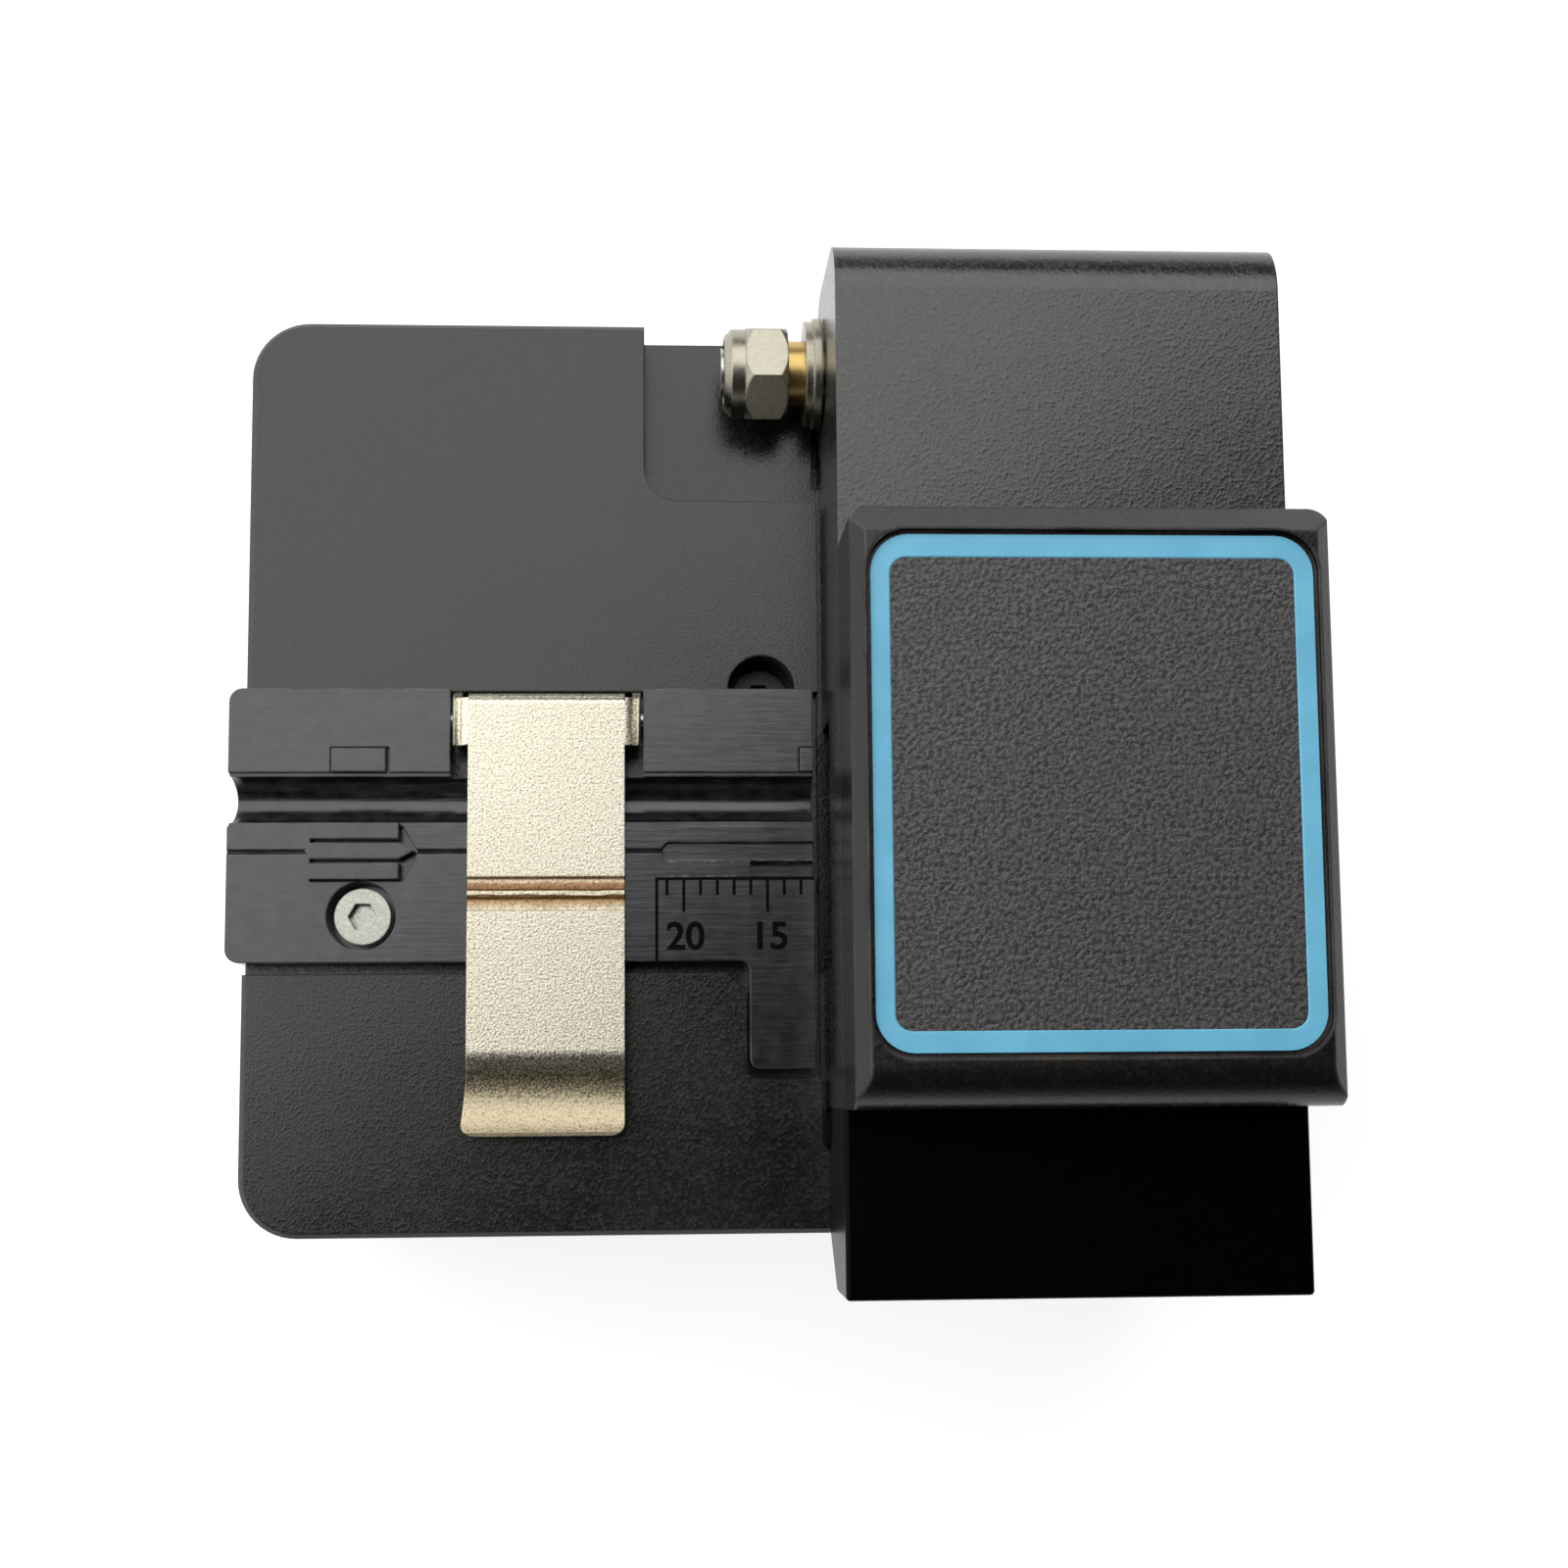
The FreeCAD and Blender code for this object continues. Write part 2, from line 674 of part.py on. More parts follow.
def make_base_plate():
    """Sheet that closes the slider channel from below, with its screws and rubber feet."""
    body = new_body("base_plate")
    sheet_outline = rectangle(body, "plate_outline", "XY", "base_left + base_plate_inset",
                              "arm_right - base_plate_inset", "base_front + base_plate_inset",
                              "base_back - base_plate_inset", "foot_height")
    pad(sheet_outline, "base_plate_thickness")
    round_edges(body, "plate_corners", "platform_corner - base_plate_inset",
                lambda at, run: abs(run.z) > 0.9 and at.x < number("arm_left"))
    holes = circles(body, "plate_screw_holes", "XY", plate_screw_places(), "small_screw_radius + hole_fit",
                    "foot_height")
    pocket(holes, "base_plate_thickness", along_normal=True)
    sinks = circles(body, "plate_screw_sinks", "XY", plate_screw_places(), "small_head_radius + hole_fit",
                    "foot_height")
    pocket(sinks, "base_plate_thickness / 2", along_normal=True)
    rail_bores = circles(body, "rail_screw_bores", "XY", rail_screw_places(), "small_screw_radius", "base_bottom")
    pocket(rail_bores, "rail_screw_bite")
    node(body, "base_plate")

    screws = []
    for index, (x, y) in enumerate(plate_screw_places()):
        name = f"plate_screw_{index}"
        shank = rod(name + "_shank", "Z", x, y, "foot_height + base_plate_thickness / 2", "small_screw_radius",
                    "base_plate_thickness / 2 + screw_bite")
        head = rod(name + "_head", "Z", x, y, "foot_height", "small_head_radius", "base_plate_thickness / 2")
        socket = hexagon(name + "_socket", "Z", x, y, "foot_height", "hex_socket", "base_plate_thickness / 4")
        screws.append(cut(name, fuse(name + "_blank", head, shank), socket))
    node(group("base_plate_screws", *screws), "base_plate_screws")

    feet = []
    for index, (x, y) in enumerate([(x, y) for x in ("base_left + foot_inset", "arm_right - foot_inset")
                                    for y in ("base_front + foot_inset", "base_back - foot_inset")]):
        feet.append(cone(f"foot_{index}", "Z", x, y, "0", "foot_radius - foot_height / 3", "foot_radius",
                         "foot_height"))
    node(group("rubber_feet", *feet), "rubber_feet")


# ---------------------------------------------------------------- guide plate and clip

def make_guide_plate():
    """Moulded plate that holds the coated cable and leads the bare fibre to the blade."""
    body = new_body("guide_plate")
    back_rim, front_rim = "cable_groove_line + cable_groove_width / 2", "cable_groove_line - cable_groove_width / 2"
    ledge = "guide_top - ledge_drop"
    vee = "fibre_groove_width / 2"
    profile = outline(body, "guide_profile", "YZ", [
        ("guide_y", "guide_bottom"),
        ("guide_back", "guide_bottom"),
        ("guide_back", "guide_top"),
        (back_rim + " + ledge_width", "guide_top"),
        (back_rim + " + ledge_width", ledge),
        (back_rim, ledge),
        (back_rim, ledge + " - groove_wall", "-cable_groove_radius"),
        (front_rim, ledge + " - groove_wall"),
        (front_rim, ledge),
        (front_rim + " - ledge_width", ledge),
        (front_rim + " - ledge_width", "guide_top"),
        ("fibre_line + " + vee, "guide_top"),
        ("fibre_line", "guide_top - fibre_groove_depth"),
        ("fibre_line - " + vee, "guide_top"),
        ("guide_y", "guide_top")], "guide_left")
    pad(profile, "guide_right - guide_left")
    tongue_x, tongue_y = "guide_right - tongue_width", "guide_y - tongue_length"
    tongue = outline(body, "tongue", "XY", [
        (tongue_x, "guide_y + tongue_corner"),
        (tongue_x, tongue_y + " + tongue_corner", "tongue_corner"),
        (tongue_x + " + tongue_corner", tongue_y),
        ("guide_right", tongue_y),
        ("guide_right", "guide_y + tongue_corner")], "guide_bottom")
    pad(tongue, "guide_thickness")
    round_edges(body, "guide_corners", "guide_corner",
                lambda at, run: abs(run.z) > 0.9 and near(at.x, "guide_left")
                and (near(at.y, "guide_y") or near(at.y, "guide_back")))
    round_edges(body, "tongue_root", "tongue_corner",
                lambda at, run: abs(run.z) > 0.9 and near(at.x, tongue_x) and near(at.y, "guide_y"))
    mouth = outline(body, "groove_mouth", "XY", [
        ("guide_left - 1", front_rim + " - ledge_width"),
        ("guide_left", front_rim + " - ledge_width", "mouth_radius"),
        ("guide_left", back_rim + " + ledge_width"),
        ("guide_left - 1", back_rim + " + ledge_width")], "guide_top")
    pocket(mouth, "guide_thickness")
    add_fibre_comb(body)
    stops = (("left_stop", "guide_left + stop_from_left", "stop_length"),
             ("right_stop", "guide_right - end_stop_length", "end_stop_length"))
    for name, left, length in stops:
        stop_y, right = back_rim + " + ledge_width", left + " + " + length
        moat = rectangle(body, name + "_moat", "XY", left + " - stop_moat / 2", right + " + stop_moat",
                         stop_y, stop_y + " + stop_depth + stop_moat / 2", "guide_top")
        pocket(moat, "stop_moat_depth")
        stop = rectangle(body, name, "XY", left, right, stop_y, stop_y + " + stop_depth",
                         "guide_top - stop_moat_depth")
        pad(stop, "stop_moat_depth + stop_rise")
    cut_fibre_slots(body)
    cut_clip_seat(body)
    counterbore = circles(body, "counterbore", "XY", [("guide_screw_x", "guide_screw_y")], "counterbore_radius",
                          "guide_top")
    pocket(counterbore, "counterbore_depth")
    through = circles(body, "screw_hole", "XY", [("guide_screw_x", "guide_screw_y")],
                      "small_screw_radius + hole_fit", "guide_top")
    pocket(through, "guide_thickness")
    magnet = circles(body, "clip_magnet_bore", "XY", [("clip_centre", "guide_screw_y")], "magnet_radius",
                     "guide_top")
    pocket(magnet, "magnet_height + magnet_gap")
    node(body, "guide_plate")

    node(rod("clip_magnet", "Z", "clip_centre", "guide_screw_y", "guide_top - magnet_height - magnet_gap",
             "magnet_radius", "magnet_height"), "clip_magnet")
    node(rod("clip_pin", "X", "clip_centre - ear_slot_half - clip_pin_grip", "clip_pin_line", "clip_pin_level",
             "clip_pin_radius", "2 * (ear_slot_half + clip_pin_grip)"), "clip_pin")
    node(cap_screw("guide_plate_screw", "guide_screw_x", "guide_screw_y", "guide_top - counterbore_depth",
                   "guide_thickness - counterbore_depth + screw_bite"), "guide_plate_screw")
    node(cap_screw("plate_stop_screw", "stop_screw_x", "stop_screw_y",
                   "platform_top - counterbore_depth - stop_screw_sink", None), "plate_stop_screw")


def add_fibre_comb(body):
    """Three ribs in a sunk seat centre the bare fibre; the middle one ends in a point on the groove."""
    left, right = "guide_left + comb_from_left", "guide_left + comb_from_left + comb_length"
    ledge_line = "cable_groove_line - cable_groove_width / 2 - ledge_width"
    front_line = "fibre_line - comb_pitch - comb_rib / 2 - comb_seat_gap / 2"
    seat = outline(body, "comb_seat", "XY", [
        (left, front_line),
        (right + " + comb_seat_gap", front_line),
        (right + " + comb_point + comb_seat_gap", "fibre_line"),
        (right + " + comb_seat_gap", ledge_line),
        (left, ledge_line)], "guide_top")
    pocket(seat, "comb_seat_depth")
    floor = "guide_top - comb_seat_depth - groove_wall / 2"
    height = "comb_rise + comb_seat_depth + groove_wall / 2"
    for name, step in (("front_rib", "-comb_pitch"), ("back_rib", "comb_pitch")):
        middle = f"fibre_line + ({step})"
        rib = rectangle(body, name, "XY", left, right, middle + " - comb_rib / 2", middle + " + comb_rib / 2",
                        floor)
        pad(rib, height)
    middle_rib = outline(body, "middle_rib", "XY", [
        (left, "fibre_line - comb_rib / 2"),
        (right, "fibre_line - comb_rib / 2"),
        (right + " + comb_point", "fibre_line"),
        (right, "fibre_line + comb_rib / 2"),
        (left, "fibre_line + comb_rib / 2"),
        (left + " - comb_point / 4", "fibre_line")], floor)
    pad(middle_rib, height)


def cut_fibre_slots(body):
    """Open slots beside the lever: a wide one with a round end on the fibre line, a short one in front."""
    half = "fibre_slot_width / 2"
    start = "guide_right - fibre_slot_length"
    long_slot = outline(body, "fibre_slot", "XY", [
        (start + " + " + half, "fibre_line - " + half),
        ("guide_right + 1", "fibre_line - " + half),
        ("guide_right + 1", "fibre_line + " + half),
        (start + " + " + half, "fibre_line + " + half, "fibre_slot_width / 2 + bend_slack"),
        (start, "fibre_line", "fibre_slot_width / 2 + bend_slack")], "guide_top")
    pocket(long_slot, "fibre_slot_depth")
    top = "fibre_line - " + half + " - scale_slot_gap"
    short_slot = rectangle(body, "scale_slot", "XY", "guide_right - scale_slot_length", "guide_right + 1",
                           top + " - scale_slot_width", top, "guide_top")
    pocket(short_slot, "scale_slot_depth")


def cut_clip_seat(body):
    """Slot for the clip's ears at the back edge, and the bore for its pin."""
    slot = rectangle(body, "ear_slot", "XY", "clip_centre - ear_slot_half", "clip_centre + ear_slot_half",
                     "cable_groove_line + cable_groove_width / 2", "guide_back + 1", "guide_top")
    pocket(slot, "guide_thickness")
    pin = circles(body, "clip_pin_bore", "YZ", [("clip_pin_line", "clip_pin_level")], "clip_pin_radius",
                  "clip_centre - ear_slot_half - clip_pin_grip")
    pocket(pin, "2 * (ear_slot_half + clip_pin_grip)", along_normal=True)


def cap_screw(name, x, y, seat, length):
    """Socket cap screw with its head on the seat, pointing down; with no length only the head."""
    head = rod(name + "_head", "Z", x, y, seat, "cap_head_radius", "small_head_height")
    socket = hexagon(name + "_socket", "Z", x, y, seat + " + small_head_height / 2", "hex_socket",
                     "small_head_height / 2")
    if length is None:
        return cut(name, head, socket)
    shank = rod(name + "_shank", "Z", x, y, seat + " - (" + length + ")", "small_screw_radius", length)
    return cut(name, fuse(name + "_blank", head, shank), socket)


def make_clip():
    """Sheet flap over the fibre: rolled back edge, pressed double groove and a bent, scooped finger lip."""
    body = new_body("fibre_clip")
    wide = "clip_width / 2 + clip_lip_flare"
    groove = "clip_pin_line - clip_bead_from_pin"
    floor, crest = "clip_top - clip_bead_depth", "clip_top - clip_ridge_drop"
    under_bend, under_scoop = "clip_bend_radius - clip_thickness", "clip_lip_radius + clip_thickness"

    def bend_end(radius):
        """Where the bend turns into the scoop, on the face with this radius of bend."""
        return (f"clip_bend_line - ({radius}) * sin(clip_bend_angle)",
                f"clip_top - clip_bend_radius + ({radius}) * cos(clip_bend_angle)")

    def lip_edge(radius):
        """The free edge of the lip, on the face with this radius of scoop."""
        reach = "(clip_bend_radius + clip_lip_radius)"
        return (f"clip_bend_line - {reach} * sin(clip_bend_angle) - ({radius}) * sin(clip_lip_angle)",
                f"clip_top - clip_bend_radius + {reach} * cos(clip_bend_angle) - ({radius}) * cos(clip_lip_angle)")

    profile = outline(body, "clip_profile", "YZ", [
        (*lip_edge(under_scoop), under_scoop),
        (*bend_end(under_bend), "-(" + under_bend + ")"),
        ("clip_bend_line", "clip_under"),
        ("clip_back - clip_back_bend", "clip_under", "-(clip_back_bend - clip_thickness)"),
        ("clip_back - clip_thickness", "clip_top - clip_back_bend"),
        ("clip_back - clip_thickness", "clip_top - clip_back_drop"),
        ("clip_back", "clip_top - clip_back_drop"),
        ("clip_back", "clip_top - clip_back_bend", "clip_back_bend"),
        ("clip_back - clip_back_bend", "clip_top"),
        (groove + " + clip_bead_width / 2", "clip_top"),
        (groove + " + clip_bead_width / 2 - clip_bead_slope", floor),
        (groove + " + clip_ridge_width / 2 + clip_bead_slope", floor),
        (groove + " + clip_ridge_width / 2", crest),
        (groove + " - clip_ridge_width / 2", crest),
        (groove + " - clip_ridge_width / 2 - clip_bead_slope", floor),
        (groove + " - clip_bead_width / 2 + clip_bead_slope", floor),
        (groove + " - clip_bead_width / 2", "clip_top"),
        ("clip_bend_line", "clip_top", "clip_bend_radius"),
        (*bend_end("clip_bend_radius"), "-clip_lip_radius"),
        lip_edge("clip_lip_radius")], "clip_centre - (" + wide + ")")
    pad(profile, "2 * (" + wide + ")")
    for side, sign, turn, half in (("left", "-", "", wide), ("right", "+", "-", "clip_width / 2")):
        edge = f"clip_centre {sign} clip_width / 2"
        outside = f"clip_centre {sign} ({wide} + 1)"
        flare = f"clip_centre {sign} ({half})"
        corner = f"clip_centre {sign} ({half} - clip_lip_corner)"
        trim = outline(body, side + "_trim", "XY", [
            (edge, "clip_back + 1"),
            (edge, "clip_bend_line - clip_bend_radius"),
            (flare, "clip_front + clip_lip_corner", turn + "clip_lip_corner"),
            (corner, "clip_front"),
            (corner, "clip_front - 1"),
            (outside, "clip_front - 1"),
            (outside, "clip_back + 1")], "clip_top + 1")
        pocket(trim, "clip_back_drop + clip_lip_radius")
    web = rectangle(body, "ear_web", "XY", "clip_centre - ear_width / 2", "clip_centre + ear_width / 2",
                    "clip_back - ear_length", "clip_back - clip_back_bend", "clip_under")
    pad(web, "clip_thickness")
    for side, start in (("left", "clip_centre - ear_width / 2"),
                        ("right", "clip_centre + ear_width / 2 - clip_thickness")):
        ear = outline(body, side + "_ear", "YZ", [
            ("clip_back - clip_back_bend", "clip_top"),
            ("clip_back - ear_length", "clip_top"),
            ("clip_pin_line - ear_radius", "clip_pin_level", "ear_radius"),
            ("clip_pin_line", "clip_pin_level - ear_radius", "ear_radius"),
            ("clip_pin_line + ear_radius", "clip_pin_level")], start)
        pad(ear, "clip_thickness")
    bore = circles(body, "clip_pin_holes", "YZ", [("clip_pin_line", "clip_pin_level")],
                   "clip_pin_radius + running_fit", "clip_centre - ear_width / 2 - 1")
    pocket(bore, "ear_width + 2", along_normal=True)
    round_edges(body, "ear_bends", "ear_bend",
                lambda at, run: abs(run.y) > 0.9 and near(abs(at.x - number("clip_centre")), "ear_width / 2")
                and near(at.z, "clip_top"))
    node(body, "fibre_clip")


# ---------------------------------------------------------------- lever

def make_lever():
    """Upside-down channel of machined aluminium, with cheeks that turn on the hinge bushes."""
    body = new_body("lever_arm")
    profile = outline(body, "side_profile", "YZ", [
        ("arm_front", "wall_bottom"),
        ("hinge_line - sqrt(hinge_set_back ^ 2 - wall_skirt ^ 2)", "wall_bottom", "hinge_set_back"),
        ("arm_back", "platform_top"),
        ("arm_back", "lever_top - lever_back_radius", "lever_back_radius"),
        ("arm_back - lever_back_radius", "lever_top"),
        ("arm_front", "lever_top")], "arm_left")
    pad(profile, "lever_width")
    inside = rectangle(body, "inside", "YZ", "arm_front - 1", "hinge_line + knuckle_radius + knuckle_gap",
                       "wall_bottom - 5", "ceiling", "arm_inner_left")
    pocket(inside, "arm_inner_right - arm_inner_left", along_normal=True)
    rear = rectangle(body, "rear_opening", "YZ", "hinge_line", "arm_back + 1", "wall_bottom - 5",
                     "platform_top + back_wall_drop", "arm_inner_left")
    pocket(rear, "arm_inner_right - arm_inner_left", along_normal=True)
    notch = rectangle(body, "fibre_notch", "YZ", "guide_y - guide_pocket_gap", "guide_back - notch_short",
                      "wall_bottom - 1", "guide_top + notch_headroom", "arm_left - 1")
    pocket(notch, "lever_wall + 2", along_normal=True)
    bores = circles(body, "bush_bores", "YZ", [("hinge_line", "platform_top")], "bush_radius + running_fit",
                    "arm_left - 1")
    pocket(bores, "lever_width + 2", along_normal=True)
    head = circles(body, "bolt_head_bore", "YZ", [("hinge_line", "platform_top")],
                   "bolt_head_radius + side_gap", "arm_right")
    pocket(head, "bolt_head_height + knuckle_gap")
    screws = circles(body, "pad_screw_holes", "XY", pad_screw_places(), "small_screw_radius + hole_fit", "ceiling")
    pocket(screws, "lever_roof", along_normal=True)
    sinks = circles(body, "pad_screw_sinks", "XY", pad_screw_places(), "small_head_radius + hole_fit", "ceiling")
    pocket(sinks, "small_head_height", along_normal=True)
    pins = circles(body, "clamp_pin_bores", "XY", clamp_pin_places(), "clamp_pin_radius", "ceiling")
    pocket(pins, "pin_bite", along_normal=True)
    tube = circles(body, "anvil_guide_bore", "XY", [("blade_plane", "fibre_line")], "guide_tube_radius", "ceiling")
    pocket(tube, "pin_bite", along_normal=True)
    nose_holes = circles(body, "nose_screw_holes", "XY", nose_screw_places(), "small_screw_radius + hole_fit",
                         "lever_top")
    pocket(nose_holes, "lever_roof")
    nose_sinks = circles(body, "nose_screw_sinks", "XY", nose_screw_places(), "small_head_radius + hole_fit",
                         "lever_top")
    pocket(nose_sinks, "small_head_height")
    node(body, "lever_arm")

    nose = new_body("nose_block")
    nose_profile = outline(nose, "nose_profile", "YZ", [
        ("nose_front", "lever_top - nose_tip"),
        ("base_front", "platform_top + floor_gap"),
        ("arm_front", "platform_top + floor_gap"),
        ("arm_front", "lever_top"),
        ("nose_front", "lever_top")], "arm_left")
    pad(nose_profile, "lever_width + nose_side")
    magnet = circles(nose, "nose_magnet_bore", "XY", [("magnet_x", "magnet_y")], "magnet_radius",
                     "platform_top + floor_gap")
    pocket(magnet, "magnet_height", along_normal=True)
    tongue = rectangle(nose, "nose_tongue", "YZ", "arm_front - 1", "arm_front + nose_tongue_length",
                       "ceiling - nose_tongue_height", "ceiling", "arm_inner_left + side_gap")
    pad(tongue, "arm_inner_right - arm_inner_left - 2 * side_gap")
    screw_bores = circles(nose, "nose_screw_bores", "XY", nose_screw_places(), "small_screw_radius", "ceiling")
    pocket(screw_bores, "nose_tongue_height - side_gap")
    round_edges(nose, "nose_edges", "nose_edge_radius",
                lambda at, run: near(at.y, "nose_front") or (abs(run.y) > 0.9 and near(at.z, "lever_top")))
    node(nose, "nose_block")
    screws = [cap_screw(f"nose_screw_{index}", x, y, "lever_top - small_head_height",
                        "lever_roof - small_head_height + nose_tongue_height - side_gap")
              for index, (x, y) in enumerate(nose_screw_places())]
    node(group("nose_screws", *screws), "nose_screws")

    node(rod("lever_magnet", "Z", "magnet_x", "magnet_y", "platform_top + floor_gap",
             "magnet_radius", "magnet_height"), "lever_magnet")
    node(rod("base_magnet", "Z", "magnet_x", "magnet_y", "platform_top - magnet_height - magnet_gap",
             "magnet_radius", "magnet_height"), "base_magnet")


def pad_screw_places():
    """Two screws hold the press pad from below."""
    x = "arm_middle + pad_screw_side_step"
    return [(x, "pad_y + pad_screw_front_step"), (x, "pad_y + pad_length - pad_screw_back_step")]


def nose_screw_places():
    """Two screws hold the nose block under the front of the roof."""
    return [(f"arm_middle {sign} nose_screw_step", "arm_front + nose_tongue_length / 2") for sign in "-+"]


def clamp_pin_places():
    """The upper clamp carrier hangs on two headed pins, in front of the anvil and behind it."""
    return [("blade_plane", f"fibre_line {sign} clamp_pin_step") for sign in "-+"]


def make_press_pad():
    """Moulded cap that the thumb presses: rolled front edge, bevelled back edge, label recess on top."""
    body = new_body("press_pad")
    profile = outline(body, "pad_profile", "YZ", [
        ("pad_y", "lever_top"),
        ("pad_y + pad_length", "lever_top"),
        ("pad_y + pad_length", "pad_top - pad_back_bevel"),
        ("pad_y + pad_length - pad_back_bevel", "pad_top"),
        ("pad_y + pad_front_radius", "pad_top", "pad_front_radius"),
        ("pad_y", "pad_top - pad_front_radius")], "arm_left")
    pad(profile, "pad_right - arm_left")
    pad_back = "pad_y + pad_length"
    for side, edge, out, turn in (("left", "arm_left", "-", ""), ("right", "pad_right", "+", "-")):
        inward = "+" if out == "-" else "-"
        bevel = outline(body, side + "_bevel", "XZ", [
            (f"{edge} {out} 1", "pad_top - pad_side_bevel - 1"),
            (f"{edge} {inward} (pad_side_bevel + 1)", "pad_top + 1"),
            (f"{edge} {out} 1", "pad_top + 1")], "1 - pad_y")
        pocket(bevel, "pad_length + 2")
        corner = outline(body, side + "_back_corner", "XY", [
            (f"{edge} {inward} pad_corner", pad_back, turn + "pad_corner"),
            (edge, pad_back + " - pad_corner"),
            (f"{edge} {out} 1", pad_back + " - pad_corner"),
            (f"{edge} {out} 1", pad_back + " + 1"),
            (f"{edge} {inward} pad_corner", pad_back + " + 1")], "lever_top")
        pocket(corner, "pad_height", along_normal=True)
    recess = rounded_rectangle(body, "label_seat", "label_width + 2 * label_clearance",
                               "label_length + 2 * label_clearance", "label_corner + label_clearance", "pad_top")
    pocket(recess, "label_recess")
    core = rectangle(body, "hollow", "XY", "arm_left + pad_wall", "arm_right - pad_wall", "pad_y + 2 * pad_wall",
                     "pad_y + pad_length - pad_wall", "lever_top")
    pocket(core, "pad_height - pad_wall - label_recess", along_normal=True)
    bosses = circles(body, "screw_bosses", "XY", pad_screw_places(), "pad_boss_radius", "lever_top")
    pad(bosses, "pad_height - label_recess - pad_wall / 2")
    bores = circles(body, "boss_bores", "XY", pad_screw_places(), "small_screw_radius", "lever_top")
    pocket(bores, "screw_bite", along_normal=True)
    node(body, "press_pad")

    label = new_body("label_plate")
    face = rounded_rectangle(label, "label_face", "label_width", "label_length", "label_corner",
                             "pad_top - label_recess")
    pad(face, "label_thickness")
    node(label, "label_plate")

    screws = []
    for index, (x, y) in enumerate(pad_screw_places()):
        name = f"pad_screw_{index}"
        head = rod(name + "_head", "Z", x, y, "ceiling", "small_head_radius", "small_head_height")
        shank = rod(name + "_shank", "Z", x, y, "ceiling", "small_screw_radius", "lever_roof + screw_bite")
        socket = hexagon(name + "_socket", "Z", x, y, "ceiling", "hex_socket", "small_head_height / 2")
        screws.append(cut(name, fuse(name + "_blank", head, shank), socket))
    node(group("pad_screws", *screws), "pad_screws")


def rounded_rectangle(body, name, width, length, radius, height):
    """Outline with round corners, centred where the label sits on the pad."""
    centre_x, centre_y = "arm_middle + label_shift", "pad_y + label_front + label_length / 2"
    left, right = f"{centre_x} - ({width}) / 2", f"{centre_x} + ({width}) / 2"
    low, high = f"{centre_y} - ({length}) / 2", f"{centre_y} + ({length}) / 2"
    return outline(body, name, "XY", [
        (left + f" + ({radius})", low),
        (right + f" - ({radius})", low, radius),
        (right, low + f" + ({radius})"),
        (right, high + f" - ({radius})", radius),
        (right + f" - ({radius})", high),
        (left + f" + ({radius})", high, radius),
        (left, high + f" - ({radius})"),
        (left, low + f" + ({radius})", radius)], height)


# ---------------------------------------------------------------- hinge hardware

def make_hinge():
    """Bolt through the knuckle; the cheeks turn on two brass bushes, and a lock nut closes the stack."""
    place = ("hinge_line", "platform_top")
    head_left = "arm_right - bolt_head_height"
    head = rod("hinge_bolt_head", "X", head_left, *place, "bolt_head_radius", "bolt_head_height")
    socket = hexagon("hinge_bolt_socket", "X", "arm_right - bolt_head_height / 2", *place, "bolt_socket",
                     "bolt_head_height / 2")
    shank = rod("hinge_bolt_shank", "X", "nut_left - bolt_end_show", *place, "hinge_bolt_radius",
                head_left + " - nut_left + bolt_end_show")
    node(cut("hinge_bolt", fuse("hinge_bolt_blank", head, shank), socket), "hinge_bolt")

    hex_left = "nut_left + nut_collar"
    corner, bevel = "nut_width / sqrt(3)", "nut_bevel"
    body = hexagon("nut_hex", "X", hex_left, *place, "nut_width", "nut_length - nut_collar")
    turned = fuse("nut_turned",
                  cone("nut_near_bevel", "X", hex_left, *place, "nut_width / 2", corner, bevel),
                  rod("nut_middle", "X", hex_left + " + " + bevel, *place, corner,
                      "nut_length - nut_collar - 2 * " + bevel),
                  cone("nut_far_bevel", "X", "nut_left + nut_length - " + bevel, *place, corner,
                       "nut_width / 2", bevel))
    bevelled = doc.addObject("Part::Common", "nut_bevelled")
    bevelled.Base = body
    bevelled.Tool = turned
    collar_radius, ring_radius = "nut_width / 2 - nut_collar_step", "nut_width / 2 - nut_ring_wall"
    collar = rod("nut_collar_blank", "X", "nut_left + " + bevel, *place, collar_radius, "nut_collar - " + bevel)
    dome = cone("nut_dome", "X", "nut_left", *place, collar_radius + " - " + bevel, collar_radius, bevel)
    bore = rod("nut_bore", "X", "nut_left - 1", *place, "hinge_bolt_radius", "nut_length + 2")
    ring_seat = rod("nut_ring_seat", "X", "nut_left - 1", *place, ring_radius, "nut_collar + 1 - nut_ring_sink")
    node(cut("hinge_nut", fuse("nut_blank", bevelled, collar, dome), bore, ring_seat), "hinge_nut")
    ring = rod("nut_ring_blank", "X", "nut_left + nut_ring_sink", *place, ring_radius,
               "nut_collar - 2 * nut_ring_sink")
    ring_bore = rod("nut_ring_bore", "X", "nut_left", *place, "hinge_bolt_radius", "nut_collar")
    node(cut("nut_nylon_ring", ring, ring_bore), "nut_nylon_ring")

    sleeve_left = "nut_left + nut_length"
    node(bush("hinge_sleeve", sleeve_left, "knuckle_left - (" + sleeve_left + ")"), "hinge_sleeve")
    node(bush("hinge_bush", "knuckle_right", head_left + " - knuckle_right"), "hinge_bush")

    washers = []
    for index in range(2):
        left = f"arm_left - knuckle_gap - washer_thickness * {index + 1}"
        disc = rod(f"washer_{index}_disc", "X", left, *place, f"washer_radius - {index} * washer_step",
                   "washer_thickness")
        hole = rod(f"washer_{index}_hole", "X", left, *place, "bush_radius", "washer_thickness")
        washers.append(cut(f"washer_{index}", disc, hole))
    node(group("hinge_washers", *washers), "hinge_washers")


